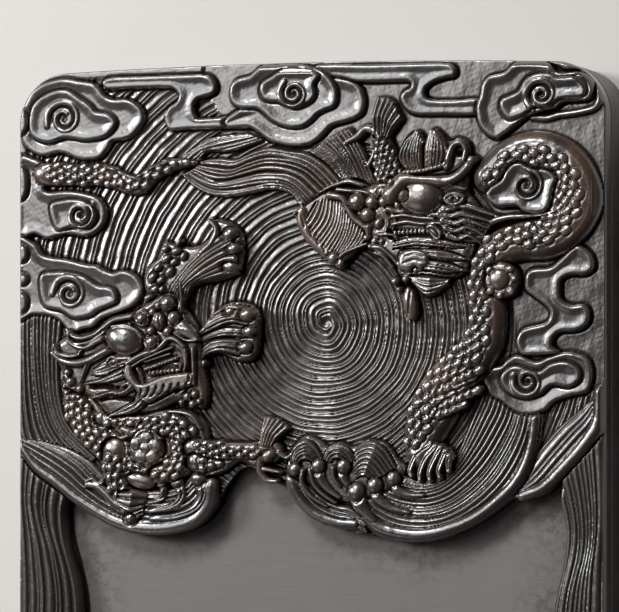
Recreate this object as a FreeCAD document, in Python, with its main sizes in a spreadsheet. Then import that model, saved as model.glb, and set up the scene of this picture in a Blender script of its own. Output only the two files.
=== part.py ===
"""Carved dragon inkstone: one slab of dark stone, 170 x 255 x 38 mm, modelled as its named carved regions.

The frame: origin at the middle of the underside, +X to the right, +Y towards the cloud end, +Z up.
From the bottom up: a plain slab, a honed hall where the ink stick is ground, a ground layer that
carries the pictures, a dished swirl that is the ink pool, and the raised carving of clouds,
waves and two dragons. Regions that are cut from the stone side by side meet face to face.
"""
import FreeCAD, Part
import os
import Sketcher
from FreeCAD import Vector

DOC = FreeCAD.newDocument("inkstone")

# ---------------------------------------------------------------- driving dimensions, mm
SIZES = {
    "stone_width": 170.0,
    "corner_length": 251.12,      # between the corner points, before the ends bow outwards
    "end_bow": 1.94,              # how far each end stands out at its middle
    "corner_round": 14.0,
    "slab_height": 25.0,
    "foot_round": 1.5,
    "hall_height": 2.0,
    "ground_height": 8.0,
    "border_height": 8.5,
    "border_foot": 32.0,          # length of the border's part below the hall
    "edge_round": 2.0,            # along the top edge of the stone
    "pool_height": 7.0,
    "dish_radius": 114.0,
    "dish_depth": 3.0,
    "ground_level": 33.0,
    "cloud_height": 2.0,
    "coil_cloud_height": 4.2,     # the cloud that lies over the right dragon's coil
    "wave_height": 1.6,
    "crest_height": 2.6,
    "curtain_height": 0.8,
    "dragon_height": 3.5,         # dragons stand this far above the ground layer
    "head_height": 5.0,
    "body_height": 4.0,
    "mane_height": 1.4,
    "soft_edge": 0.5,             # rounding along the top of every raised outline
    "coil_radius": 4.6,
    "tail_radius": 3.2,
    "tail_tip_radius": 1.1,
}

WHIRL_CENTRE = (5.0, 55.0)


def make_sheet():
    """Puts every driving dimension in a spreadsheet cell, under its alias."""
    sheet = DOC.addObject("Spreadsheet::Sheet", "Sizes")
    for row, (alias, value) in enumerate(SIZES.items(), start=1):
        sheet.set(f"A{row}", alias)
        sheet.set(f"B{row}", str(value))
        sheet.setAlias(f"B{row}", alias)
    DOC.recompute()
    return sheet


SHEET = make_sheet()


def size(alias):
    """The value in the sheet's cell of that alias."""
    return float(getattr(SHEET, alias))


# ---------------------------------------------------------------- outlines, mm
# The lower edge of the picture, from the left side to the right: two wave bowls with a step between.
PICTURE_EDGE = [
    (-90, 21), (-84, 17.5), (-75, 9.8), (-65, 3.4), (-55, -1.5), (-45, -4), (-35, -3), (-27, 2),
    (-22.5, 10), (-17, 15), (-9, 13), (-4.5, 11), (-1, 5), (4, 0.5), (12, -1.8), (22, -3), (32, -4),
    (45, -1.5), (54, 4), (62, 9), (72, 14), (80, 21.5), (90, 36),
]
HALL = [
    (-60, 20), (-69.5, 6), (-70.4, -3), (-68, -13), (-65.8, -24), (-66.5, -38), (-69.5, -52),
    (-70.5, -66), (-68.5, -82), (-66, -96), (-58, -109), (-42, -115.5), (-20, -117), (0, -117.3),
    (20, -117), (42, -115.5), (58, -109), (66, -96), (69.5, -82), (72.5, -66), (72, -52),
    (70, -36), (70.3, -22), (72.8, -10), (73.4, -2), (72, 6), (68, 20), (30, 30), (-20, 30),
]
POOL = [
    (-61, 88), (-52, 104), (-34, 107.5), (-14, 105.5), (6, 105), (16, 102), (26, 88), (46, 74),
    (47.5, 54), (40, 36), (27, 26), (8, 22.5), (-14, 23), (-26, 27), (-30, 44), (-31, 62), (-44, 70),
    (-59, 75),
]

CLOUDS = {
    "cloud_top_left": [
        (-82, 113), (-79, 120), (-70, 123.5), (-62, 122.5), (-57.5, 119), (-51, 118), (-47, 114.5),
        (-47, 110.5), (-51.5, 107), (-58, 103), (-65, 101.5), (-74, 102.5), (-81, 105.5),
    ],
    "cloud_bar_left": [
        (-54, 123.6), (-40, 124.2), (-30, 124.3), (-26.8, 121.8), (-28.5, 118.8), (-31.3, 116.5),
        (-30.5, 113), (-24, 112.4), (-17, 112), (-17, 110.4), (-26, 109.7), (-36, 109.7), (-40.2, 112),
        (-39.5, 115.8), (-36.4, 118.2), (-38.5, 121), (-46, 121.6), (-54, 121.6),
    ],
    "cloud_top_centre": [
        (-21, 118.5), (-19.5, 122.6), (-14.5, 124), (-10, 126), (-3, 126), (3, 125.2), (8, 123.6),
        (14, 122), (17.6, 119), (17.3, 114.3), (13.5, 111.3), (8.5, 109.6), (5, 106), (0, 104.6),
        (-6, 105.4), (-11, 108.5), (-14, 112.6), (-18.5, 114.8),
    ],
    "cloud_bar_right": [
        (19.5, 125.6), (30, 125.8), (40, 125.8), (43, 124), (42.2, 121.8), (38.5, 120.8), (36, 118.8),
        (37, 116.6), (42, 115.7), (49, 115.3), (49, 112.8), (40, 112.3), (33, 112.8), (29, 115),
        (28.9, 118.2), (31, 120.6), (28, 122.2), (19.5, 122.4),
    ],
    "cloud_top_right": [
        (50.4, 112), (51, 117), (53, 121.8), (57.5, 123.2), (61, 125.4), (66, 126), (70, 124.6),
        (73, 122.4), (78, 122.6), (81.5, 119.4), (80, 116), (75, 114.2), (70.5, 112), (64.5, 110.8),
        (61, 110), (56, 110), (52.5, 109.6),
    ],
    "cloud_in_coil": [
        (56.2, 91), (58, 94.6), (60, 97), (64, 97), (68.5, 96.6), (71.6, 94.4), (70.8, 91.6),
        (71.2, 88.6), (68, 85.6), (64, 85.6), (61, 87.4), (57.6, 88),
    ],
    "cloud_right_ribbon": [
        (63.6, 68), (66.5, 69.8), (71, 69.6), (75.5, 73.8), (79.5, 73.6), (80.2, 70), (76, 67.6),
        (73.2, 65), (75.4, 61.8), (79.6, 60), (79.6, 56), (74.6, 53.8), (71.6, 50.6), (72, 47.8),
        (66.5, 47.6), (62.2, 49.4), (62.8, 53.8), (68.6, 56.6), (69.4, 60), (65.6, 63.4),
    ],
    "cloud_right_lower": [
        (53.2, 38.6), (54.6, 42.6), (59, 45.2), (64, 46), (69, 45.4), (74, 46.2), (79, 43.4),
        (78.6, 39.4), (74.6, 37.4), (70, 36.8), (66.6, 33.6), (62.6, 33), (58.4, 34.6), (54.8, 36),
    ],
    "cloud_left_upper": [
        (-82.5, 86), (-79.5, 90.5), (-70, 91.5), (-61.5, 91), (-57.4, 87.2), (-58.6, 82), (-64, 79.6),
        (-72, 79.2), (-80, 81),
    ],
    "cloud_left_lower": [
        (-82.5, 63), (-79, 70), (-70, 71.8), (-62, 71), (-56.5, 69), (-51, 70), (-47, 66.5),
        (-47.4, 62), (-52, 58.6), (-58.6, 57.4), (-63, 54.6), (-69, 54), (-74, 57.4), (-79.5, 58.2),
    ],
}

DRAGON_SOLIDS = {
    "left_dragon_head": ("head_height", [
        (-73, 46), (-70, 51), (-62, 51.4), (-56.5, 55.5), (-49, 57.8), (-43.5, 61.8), (-37.5, 63.4),
        (-33.4, 58), (-31, 52.4), (-28.6, 44), (-27.4, 36.4), (-33, 34), (-43, 31.4), (-54, 32),
        (-61, 36.8), (-68, 40.6),
    ]),
    "left_dragon_coil": ("body_height", [
        (-71, 37), (-70, 30), (-64, 23.5), (-57.5, 18), (-57.4, 12), (-52, 10.6), (-46, 14),
        (-40, 12.4), (-33, 13.6), (-28, 19), (-28.2, 27), (-33, 31), (-43, 28.8), (-54, 29.4),
        (-61.6, 33.4), (-67, 38),
    ]),
    "left_dragon_upper_claw": ("dragon_height", [
        (-44.6, 64.8), (-44.6, 71), (-39, 76.8), (-31, 79.4), (-24, 84.4), (-19.6, 81), (-20.4, 72.6),
        (-28.6, 69.2), (-35, 66.4), (-39, 65.4),
    ]),
    "left_dragon_middle_claw": ("dragon_height", [
        (-28.4, 52), (-25, 57.6), (-18, 60.4), (-13.6, 57.6), (-12.8, 51), (-14.6, 45.4), (-21, 45.8),
        (-26.8, 46.6),
    ]),
    "left_dragon_lower_claw": ("dragon_height", [
        (-62.6, 9.6), (-57.4, 8.8), (-51.6, 8.4), (-46, 7.6), (-46.2, 1.6), (-50.4, -1), (-55.4, 2.4),
        (-61, 6.4),
    ]),
    "left_dragon_hind_leg": ("dragon_height", [
        (-26.6, 21), (-18, 22.4), (-11.6, 23), (-9.6, 28.6), (-5, 27.6), (-4.6, 23.4), (-7, 18),
        (-6.6, 13.4), (-9.8, 11.6), (-11.6, 16.4), (-17, 17.8), (-23, 15.4), (-26.6, 16.4),
    ]),
    "tail_plume": ("mane_height", [
        (-27.6, 100.4), (-27, 104), (-16, 106), (-8, 103.2), (2, 102.6), (8, 105.6), (13, 104),
        (17, 99), (14, 95.2), (6, 91.6), (0.6, 87.4), (-2.6, 91), (-8, 92.4), (-16, 90.8),
        (-24, 91.4), (-30, 95), (-28.2, 98),
    ]),
    "right_dragon_mane": ("mane_height", [
        (-0.6, 84.6), (3, 86.6), (7.6, 89), (11.6, 86.6), (14.6, 82), (17.8, 76), (15, 71.6),
        (11.4, 70.6), (7, 74.6), (2, 79.6),
    ]),
    "right_dragon_head": ("head_height", [
        (14.6, 91.6), (21, 92.6), (29, 95.2), (36, 95), (43, 95), (48.4, 96.6), (47.4, 91),
        (50.4, 86), (47.6, 80), (46.6, 73.4), (43.4, 67.4), (36.4, 66), (32, 58), (29.4, 62),
        (28, 70), (21.6, 73.6), (18.4, 80.4), (15.6, 86),
    ]),
    "right_dragon_crest": ("body_height", [
        (29.6, 97.4), (28.8, 101), (31, 104.4), (33.6, 107.2), (36.4, 104.8), (38.8, 107.2),
        (41.4, 104), (42.4, 100.4), (40.4, 97.6), (35, 96.6),
    ]),
    "right_dragon_forearm": ("dragon_height", [
        (20.6, 95.4), (19, 100), (19.4, 105), (21.4, 110), (22.6, 115.6), (25.6, 116.4), (29, 110.6),
        (26, 106), (26.6, 101), (26.6, 96.6), (23, 95),
    ]),
    "right_dragon_hind_claw": ("dragon_height", [
        (33, 17.4), (36.6, 19.6), (40.6, 18.6), (41.4, 15.4), (38.4, 13), (34.6, 13.4),
    ]),
}

COIL_PATH = [
    (54.5, 100), (60, 103.4), (68, 103.6), (75.4, 100), (79.6, 92.4), (78, 83.4), (71, 77.4),
    (62, 77), (55, 73.6), (52.4, 65), (53, 54), (49, 46), (41, 40), (35, 33), (32.6, 24.4),
]
TAIL_PATH = [(-76, 97.4), (-66, 97.2), (-57, 96.2), (-49, 94), (-42, 97), (-35, 99.6), (-30.6, 100)]

WAVE_LEFT = [
    (-81.5, 18.6), (-76, 20), (-66, 19), (-58, 16), (-46, 9.6), (-36, 10.6), (-29, 13), (-23.4, 10.4),
    (-27, 2.4), (-35, -2.4), (-45, -3.4), (-55, -0.9), (-65, 4.1), (-75, 10.5),
]
WAVE_RIGHT = [
    (14.6, 5.4), (20, 8.4), (27, 10.6), (33, 11.4), (40, 11.8), (44, 17), (44.6, 24), (49, 30),
    (55, 33), (60, 31), (66, 31), (66.4, 24), (63, 14), (58, 7.6), (51, 2.8), (42, -1.6),
    (32, -3.3), (22, -2.3), (14, -0.6), (12.6, 2.4),
]
WAVE_RIGHT_OUTER = [
    (63.6, 11.2), (71, 15.2), (78.4, 21.6), (83, 29), (82.6, 34.6), (74, 35), (69, 33), (68.4, 25),
    (66, 17.4),
]
WAVE_CRESTS = [
    (-3.8, 13), (-3.4, 19.6), (1, 23.4), (6, 20.6), (10, 22.6), (15, 20), (20, 22.8), (25.6, 21),
    (28, 15), (26.4, 11.4), (19, 9.2), (13.4, 6), (11, 2), (6, 1.2), (1, 5), (-2, 8.4),
]
CURTAIN_LEFT = [
    (-82.5, 34), (-82.5, 44), (-81.8, 53), (-76, 53.6), (-73.6, 47), (-73, 40), (-72, 30), (-69, 24.4), (-76, 22), (-81.8, 24.4),
]


# ---------------------------------------------------------------- helpers
def origin_plane(body, role):
    """One of a body's own origin planes."""
    return next(f for f in body.Origin.OriginFeatures if f.Role == role)


def flat_sketch(body, name, level):
    """A sketch in the body, parallel to XY, at a level given as an expression of the sheet."""
    sketch = body.newObject("Sketcher::SketchObject", name)
    sketch.AttachmentSupport = [(origin_plane(body, "XY_Plane"), "")]
    sketch.MapMode = "FlatFace"
    sketch.setExpression("AttachmentOffset.Base.z", level)
    return sketch


def closed_curve(points):
    """A smooth closed curve through the points."""
    curve = Part.BSplineCurve()
    curve.interpolate([Vector(x, y, 0) for x, y in points], PeriodicFlag=True)
    return curve


def open_curve(points):
    """A smooth open curve through the points."""
    curve = Part.BSplineCurve()
    curve.interpolate([Vector(x, y, 0) for x, y in points])
    return curve


def add_pad(body, sketch, height):
    """Pads the sketch upwards by an expression of the sheet."""
    pad = body.newObject("PartDesign::Pad", sketch.Name + "_pad")
    pad.Profile = sketch
    pad.setExpression("Length", height)
    DOC.recompute()
    return pad


def edges_at(feature, level):
    """The names of the feature's edges that lie flat at that level."""
    return [
        f"Edge{i}" for i, edge in enumerate(feature.Shape.Edges, start=1)
        if abs(edge.BoundBox.ZMin - level) < 1e-4 and abs(edge.BoundBox.ZMax - level) < 1e-4
    ]


def round_edges(body, feature, names, radius):
    """Rounds the named edges of the feature by an expression of the sheet."""
    fillet = body.newObject("PartDesign::Fillet", feature.Name + "_round")
    fillet.Base = (feature, names)
    fillet.setExpression("Radius", radius)
    DOC.recompute()
    return fillet


def raised_body(label, points, base, height, rounded=True):
    """A raised region: its outline padded from base by height, with its top edge rounded.

    An outline with a corner too tight for the rounding keeps its sharp edge.
    """
    body = DOC.addObject("PartDesign::Body", label)
    sketch = flat_sketch(body, label + "_outline", base)
    sketch.addGeometry(closed_curve(points), False)
    pad = add_pad(body, sketch, height)
    if rounded:
        edge = round_edges(body, pad, edges_at(pad, pad.Shape.BoundBox.ZMax), "Sizes.soft_edge")
        if "Invalid" in edge.State:
            body.removeObject(edge)
            DOC.removeObject(edge.Name)
            body.Tip = pad
            DOC.recompute()
    return body


def stone_blank(label, base, height, top_round=None, bottom_round=None):
    """The stone's own outline as a block: straight sides, slightly bowed ends and round corners."""
    body = DOC.addObject("PartDesign::Body", label)
    sketch = flat_sketch(body, label + "_outline", base)
    half_width = size("stone_width") / 2
    half_length = size("corner_length") / 2
    crown = half_length + size("end_bow")
    corners = [
        Vector(-half_width, -half_length, 0), Vector(half_width, -half_length, 0),
        Vector(half_width, half_length, 0), Vector(-half_width, half_length, 0),
    ]
    foot_end = Part.Arc(corners[0], Vector(0, -crown, 0), corners[1])
    cloud_end = Part.Arc(corners[2], Vector(0, crown, 0), corners[3])
    right = Part.LineSegment(corners[1], corners[2])
    left = Part.LineSegment(corners[3], corners[0])
    sketch.addGeometry([foot_end, right, cloud_end, left], False)
    width = sketch.addConstraint(Sketcher.Constraint("DistanceX", 3, 1, 1, 2, 2 * half_width))
    length = sketch.addConstraint(Sketcher.Constraint("DistanceY", 1, 1, 1, 2, 2 * half_length))
    sketch.setExpression(f"Constraints[{width}]", "Sizes.stone_width")
    sketch.setExpression(f"Constraints[{length}]", "Sizes.corner_length")
    feature = add_pad(body, sketch, height)
    upright = [
        f"Edge{i}" for i, edge in enumerate(feature.Shape.Edges, start=1)
        if edge.BoundBox.ZLength > 1 and edge.BoundBox.XLength < 1e-3
    ]
    feature = round_edges(body, feature, upright, "Sizes.corner_round")
    if top_round:
        feature = round_edges(body, feature, edges_at(feature, feature.Shape.BoundBox.ZMax), top_round)
    if bottom_round:
        feature = round_edges(body, feature, edges_at(feature, feature.Shape.BoundBox.ZMin), bottom_round)
    return body


def boolean(kind, name, base, tool):
    """A Part::Cut or Part::Common of two objects."""
    result = DOC.addObject("Part::" + kind, name)
    result.Base, result.Tool = base, tool
    DOC.recompute()
    return result


def fused(name, shapes):
    """Several objects as one cutting tool."""
    result = DOC.addObject("Part::MultiFuse", name)
    result.Shapes = shapes
    DOC.recompute()
    return result


def half_round(label, path, radii, base):
    """A half-round ridge along a smooth flat path, its flat side down at base.

    radii are two expressions of the sheet, for the path's start and its end.
    """
    spine = DOC.addObject("Sketcher::SketchObject", label + "_spine")
    spine.addGeometry(open_curve(path), False)
    level = size(base)
    spine.Placement = FreeCAD.Placement(Vector(0, 0, level), FreeCAD.Rotation())
    DOC.recompute()
    edge = spine.Shape.Edges[0]
    sections = []
    steady = radii[0] == radii[1]
    for which, radius in enumerate(radii[:1] if steady else radii):
        along = edge.ParameterRange[which]
        tangent = edge.tangentAt(along)
        across = Vector(0, 0, 1).cross(tangent).normalize()
        section = DOC.addObject("Sketcher::SketchObject", f"{label}_section_{which}")
        reach = size(radius)
        section.addGeometry([
            Part.ArcOfCircle(Part.Circle(Vector(0, 0, 0), Vector(0, 0, 1), reach), 0, 3.141592653589793),
            Part.LineSegment(Vector(-reach, 0, 0), Vector(reach, 0, 0)),
        ], False)
        turn = FreeCAD.Rotation(across, Vector(0, 0, 1), across.cross(Vector(0, 0, 1)), "XYZ")
        section.Placement = FreeCAD.Placement(edge.valueAt(along), turn)
        section.addConstraint(Sketcher.Constraint("Coincident", 0, 1, 1, 2))
        section.addConstraint(Sketcher.Constraint("Coincident", 0, 2, 1, 1))
        section.addConstraint(Sketcher.Constraint("PointOnObject", 0, 3, 1))
        section.addConstraint(Sketcher.Constraint("Coincident", 0, 3, -1, 1))
        section.addConstraint(Sketcher.Constraint("Horizontal", 1))
        index = section.addConstraint(Sketcher.Constraint("Radius", 0, reach))
        section.setExpression(f"Constraints[{index}]", "Sizes." + radius)
        sections.append(section)
    DOC.recompute()
    sweep = DOC.addObject("Part::Sweep", label)
    sweep.Sections = sections
    sweep.Spine = (spine, ["Edge1"])
    sweep.Solid = True
    sweep.Frenet = False
    DOC.recompute()
    return sweep


def in_reach(one, other):
    """True where two objects' boxes overlap and their solids do too."""
    if not one.Shape.BoundBox.intersect(other.Shape.BoundBox):
        return False
    return one.Shape.common(other.Shape).Volume > 1e-3


def cut_back(label, blank, in_front):
    """Cuts the blank back by whatever stands in front of it, and labels the result."""
    tools = [piece for piece in in_front if in_reach(blank, piece)]
    if not tools:
        blank.Label = label
        return blank
    tool = tools[0] if len(tools) == 1 else fused(label + "_front", tools)
    result = boolean("Cut", label + "_cut", blank, tool)
    result.Label = label
    return result


def outline_body(name, points, base, height, smooth=True):
    """A plain block over an outline, smooth or straight-sided, from base by height."""
    body = DOC.addObject("PartDesign::Body", name)
    sketch = flat_sketch(body, name + "_outline", base)
    if smooth:
        sketch.addGeometry(closed_curve(points), False)
    else:
        sketch.addGeometry(closed_chain(points), False)
    add_pad(body, sketch, height)
    return body


def closed_chain(points):
    """The picture's lower edge as a smooth curve, closed by straight lines round the cloud end."""
    reach = size("corner_length")
    first, last = Vector(*points[0], 0), Vector(*points[-1], 0)
    top_right, top_left = Vector(last.x, reach, 0), Vector(first.x, reach, 0)
    return [
        open_curve(points),
        Part.LineSegment(last, top_right),
        Part.LineSegment(top_right, top_left),
        Part.LineSegment(top_left, first),
    ]


# ---------------------------------------------------------------- the stone's own layers
def make_hall_zone():
    """The hall's outline as a tall block, ended where the picture begins."""
    tall = outline_body("hall_block", HALL, "Sizes.slab_height", "Sizes.slab_height")
    return boolean("Cut", "hall_zone", tall, PICTURE_ZONE)


def make_slab():
    """The plain slab: the stone's outline, with its lower edge rounded."""
    return stone_blank("stone_slab", "0", "Sizes.slab_height", bottom_round="Sizes.foot_round")


def make_hall():
    """The honed floor of the hall, lying on the slab."""
    floor = outline_body("hall_floor", HALL, "Sizes.slab_height", "Sizes.hall_height")
    hall = boolean("Cut", "hall_cut", floor, PICTURE_ZONE)
    hall.Label = "grinding_hall"
    return hall


def make_pool():
    """The ink pool: a shallow spherical dish inside the swirl's outline."""
    blank = outline_body("pool_blank", POOL, "Sizes.slab_height", "Sizes.pool_height")
    ball = DOC.addObject("Part::Sphere", "dish_ball")
    ball.setExpression("Radius", "Sizes.dish_radius")
    ball.setExpression("Placement.Base.x", str(WHIRL_CENTRE[0]))
    ball.setExpression("Placement.Base.y", str(WHIRL_CENTRE[1]))
    rim = "Sizes.slab_height + Sizes.pool_height - Sizes.dish_depth"
    ball.setExpression("Placement.Base.z", rim + " + Sizes.dish_radius")
    DOC.recompute()
    dish = boolean("Cut", "pool_dished", blank, ball)
    dish.Label = "ink_pool"
    return dish


def make_ground():
    """The layer that carries the pictures, open over the pool."""
    layer = stone_blank("ground_blank", "Sizes.slab_height", "Sizes.ground_height",
                        top_round="Sizes.edge_round")
    pictured = boolean("Common", "ground_pictured", layer, PICTURE_ZONE)
    ground = boolean("Cut", "ground_open", pictured, POOL_BLOCK)
    ground.Label = "picture_ground"
    return ground


def zone_box(name, x_low, y_low, width, length):
    """A tall box over a part of the stone; its place and size are expressions of the sheet."""
    box = DOC.addObject("Part::Box", name)
    box.setExpression("Length", width)
    box.setExpression("Width", length)
    box.setExpression("Height", "3 * Sizes.slab_height")
    box.setExpression("Placement.Base.x", x_low)
    box.setExpression("Placement.Base.y", y_low)
    DOC.recompute()
    return box


def make_borders():
    """The border round the hall, in its three stretches: left, right and foot."""
    rim = stone_blank("border_blank", "Sizes.slab_height", "Sizes.border_height",
                      top_round="Sizes.edge_round")
    plain = boolean("Cut", "border_plain", rim, PICTURE_ZONE)
    ring = boolean("Cut", "border_ring", plain, HALL_ZONE)
    half_width, length = "Sizes.stone_width / 2", "Sizes.corner_length"
    foot_top = "Sizes.border_foot - Sizes.corner_length / 2 - Sizes.end_bow"
    zones = {
        "border_left": ("-" + half_width, foot_top, half_width, length),
        "border_right": ("0", foot_top, half_width, length),
        "border_foot": ("-" + half_width, "-" + length, "Sizes.stone_width", f"{length} + {foot_top}"),
    }
    made = []
    for label, place in zones.items():
        stretch = boolean("Common", label + "_stretch", ring, zone_box(label + "_zone", *place))
        stretch.Label = label
        made.append(stretch)
    return made


# ---------------------------------------------------------------- the raised carving
def make_dragons():
    """Both dragons, front to back: heads and claws first, then what passes behind them."""
    made = []
    for label, (height, points) in DRAGON_SOLIDS.items():
        blank = raised_body(label + "_blank", points, "Sizes.ground_level", "Sizes." + height)
        made.append(cut_back(label, blank, made))
    return made


def make_coil(in_front):
    """The right dragon's body: a half-round coil that turns once and runs down to the waves."""
    coil = half_round("right_dragon_body", COIL_PATH, ("coil_radius", "coil_radius"), "ground_level")
    return cut_back("right_dragon_coil", coil, in_front)


def make_tail(in_front):
    """The left dragon's tail: a half-round ridge that thins towards its plume."""
    radii = ("tail_radius", "tail_tip_radius")
    tail = half_round("left_dragon_tail_ridge", TAIL_PATH, radii, "ground_level")
    return cut_back("left_dragon_tail", tail, in_front)


def make_clouds(in_front):
    """The cloud scrolls, each cut back by the dragons in front of it."""
    made = []
    for label, points in CLOUDS.items():
        height = "Sizes.coil_cloud_height" if label == "cloud_in_coil" else "Sizes.cloud_height"
        blank = raised_body(label + "_blank", points, "Sizes.ground_level", height)
        front = [] if label == "cloud_in_coil" else in_front + made
        made.append(cut_back(label, blank, front))
    return made


def make_waves(in_front):
    """The wave bowls, the crests between them and the curtain of water at the left side."""
    plans = [
        ("wave_bowl_left", WAVE_LEFT, "Sizes.wave_height"),
        ("wave_bowl_right", WAVE_RIGHT, "Sizes.wave_height"),
        ("wave_outer_right", WAVE_RIGHT_OUTER, "Sizes.wave_height"),
        ("wave_crests", WAVE_CRESTS, "Sizes.crest_height"),
        ("water_curtain", CURTAIN_LEFT, "Sizes.curtain_height"),
    ]
    made = []
    for label, points, height in plans:
        blank = raised_body(label + "_blank", points, "Sizes.ground_level", height, rounded=False)
        made.append(cut_back(label, blank, in_front + made))
    return made


def check_document():
    """Stops if any feature of the document failed."""
    for item in DOC.Objects:
        if {"Invalid", "Error"} & set(item.State):
            raise RuntimeError(f"{item.Label} failed: {item.State}")


def export(nodes):
    """Writes each node's solid to parts/NODE.step."""
    os.makedirs("parts", exist_ok=True)
    for node in nodes:
        shape = node.Shape
        if shape.isNull() or not shape.isValid():
            raise RuntimeError(f"{node.Label} has no valid shape")
        shape.exportStep(f"parts/{node.Label}.step")
        box = shape.BoundBox
        print(f"{node.Label:26s} {len(shape.Solids)} solid(s) {shape.Volume / 1000:8.2f} cm3"
              f"  z {box.ZMin:6.2f} to {box.ZMax:6.2f}")


PICTURE_ZONE = outline_body("picture_zone", PICTURE_EDGE, "0", "2 * Sizes.slab_height", smooth=False)
HALL_ZONE = make_hall_zone()
POOL_BLOCK = outline_body("pool_block", POOL, "Sizes.slab_height", "Sizes.slab_height")

SLAB = make_slab()
HALL_FLOOR = make_hall()
POOL_DISH = make_pool()
GROUND = make_ground()
BORDERS = make_borders()

DRAGONS = make_dragons()
CLOUD_LIST = make_clouds(DRAGONS)
COIL = make_coil(DRAGONS + CLOUD_LIST)
TAIL = make_tail(DRAGONS)
WAVES = make_waves(DRAGONS + [COIL])

DOC.recompute()
check_document()
export([SLAB, HALL_FLOOR, POOL_DISH, GROUND, *BORDERS, *DRAGONS, COIL, TAIL, *CLOUD_LIST, *WAVES])
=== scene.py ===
"""A carved dragon inkstone in Blender: one dark stone whose whole top is a relief.

The relief is one height map over the stone's top. Each carved feature is stamped on it in mm: a
plateau inside an outline, a ridge along a path, a sheaf of strands between guide curves, or scales
along a body. Each stamp also marks which named region the stone there belongs to, and every region
becomes a closed piece of its own: its stretch of the relief, upright sides, and a flat underside.
"""

import logging
import math
from dataclasses import dataclass
from enum import Enum
from typing import Sequence

import bpy
import numpy as np
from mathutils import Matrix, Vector
from mathutils.geometry import delaunay_2d_cdt


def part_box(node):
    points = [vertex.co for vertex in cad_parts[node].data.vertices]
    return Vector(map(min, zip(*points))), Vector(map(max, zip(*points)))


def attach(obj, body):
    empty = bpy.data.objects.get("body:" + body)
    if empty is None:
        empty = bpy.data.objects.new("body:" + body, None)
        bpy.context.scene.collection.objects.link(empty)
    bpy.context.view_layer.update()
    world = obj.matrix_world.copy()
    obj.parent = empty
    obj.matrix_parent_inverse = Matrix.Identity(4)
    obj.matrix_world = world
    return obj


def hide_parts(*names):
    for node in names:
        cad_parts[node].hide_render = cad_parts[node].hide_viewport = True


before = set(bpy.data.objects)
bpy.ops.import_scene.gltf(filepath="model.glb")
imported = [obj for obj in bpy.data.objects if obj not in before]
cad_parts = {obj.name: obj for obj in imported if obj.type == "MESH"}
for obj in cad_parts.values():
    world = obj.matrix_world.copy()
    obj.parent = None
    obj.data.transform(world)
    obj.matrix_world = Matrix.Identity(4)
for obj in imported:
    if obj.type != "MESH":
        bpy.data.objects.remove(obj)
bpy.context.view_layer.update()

LOG = logging.getLogger("inkstone")
MM = 0.001            # one millimetre in metres
PITCH = 0.25          # spacing of the height map, in mm
BLANK_HEIGHT = 31.0   # height of the stone before it is carved, in mm
EDGE_FOOT = 30.0      # height at which the relief meets the upright side, in mm
HIGHEST = 37.98       # the stone stands just under 38 mm high
NEAR_REACH = 0.6      # reach of the blur behind the fine cuts, in mm; it is run twice
WIDE_REACH = 3.75     # and behind the broad ones
Points = Sequence[tuple[float, float]]
Array = np.ndarray


class Finish(Enum):
    """The four finishes of the stone, by the record's material slots."""

    CARVED = "carved_stone"
    DRAGON = "dragon_stone"
    HONED = "honed_stone"
    SIDE = "side_stone"


# ------------------------------------------------------------------ curves
def smooth_curve(points: Points, closed: bool = False, step: float = 0.3) -> Array:
    """A smooth curve through points: each span is a cubic whose end slopes join the points beside it.

    Args:
        points: the points, in mm.
        closed: whether the last point joins the first.
        step: spacing along the curve, in mm.

    Returns:
        The points along the curve, one row each.
    """
    p = np.asarray(points, float)
    if closed:
        p = np.vstack([p[-1], p, p[0], p[1]])
    else:
        p = np.vstack([2 * p[0] - p[1], p, 2 * p[-1] - p[-2]])
    out = []
    for a, b, c, d in zip(p[:-3], p[1:-2], p[2:-1], p[3:]):
        count = max(2, int(np.linalg.norm(c - b) / step) + 1)
        u = np.linspace(0, 1, count, endpoint=False)[:, None]
        out.append(0.5 * (2 * b + (c - a) * u + (2 * a - 5 * b + 4 * c - d) * u**2
                          + (3 * b - a - 3 * c + d) * u**3))
    if not closed:
        out.append(p[-2][None])
    return np.vstack(out)


def evenly(curve: Array, count: int) -> Array:
    """The curve again with count points, evenly spaced by length."""
    length = np.r_[0, np.cumsum(np.linalg.norm(np.diff(curve, axis=0), axis=1))]
    at = np.linspace(0, length[-1], count)
    return np.stack([np.interp(at, length, curve[:, k]) for k in range(curve.shape[1])], -1)


def curve_length(curve: Array) -> float:
    """The length of a curve, in mm."""
    return float(np.linalg.norm(np.diff(curve, axis=0), axis=1).sum())


def smoothstep(x: Array, low: float, high: float) -> Array:
    """0 below low, 1 above high, and an S between them."""
    t = np.clip((x - low) / (high - low), 0, 1)
    return t * t * (3 - 2 * t)


def dome(x: Array) -> Array:
    """A quarter circle: 0 where x is 0 or less, 1 where x is 1 or more."""
    return np.sqrt(np.clip(1 - (1 - np.clip(x, 0, 1)) ** 2, 0, 1))


def strand(f: Array, sharp: float = 0.5) -> Array:
    """A row of rounded cords with narrow valleys: a power of half a sine, one cord per unit of f."""
    return np.abs(np.sin(np.pi * f)) ** sharp


def noise(x: Array, y: Array, size: float, seed: int) -> Array:
    """Smooth random waves, from -1 to 1: a sum of nine sines with fixed random directions."""
    rng = np.random.default_rng(seed)
    total = np.zeros_like(x)
    for _ in range(9):
        angle, phase = rng.uniform(0, 2 * math.pi, 2)
        k = 2 * math.pi / (size * rng.uniform(0.7, 1.6))
        total += np.sin(k * (x * math.cos(angle) + y * math.sin(angle)) + phase)
    return (total / 4.5).astype(np.float32)


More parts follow.
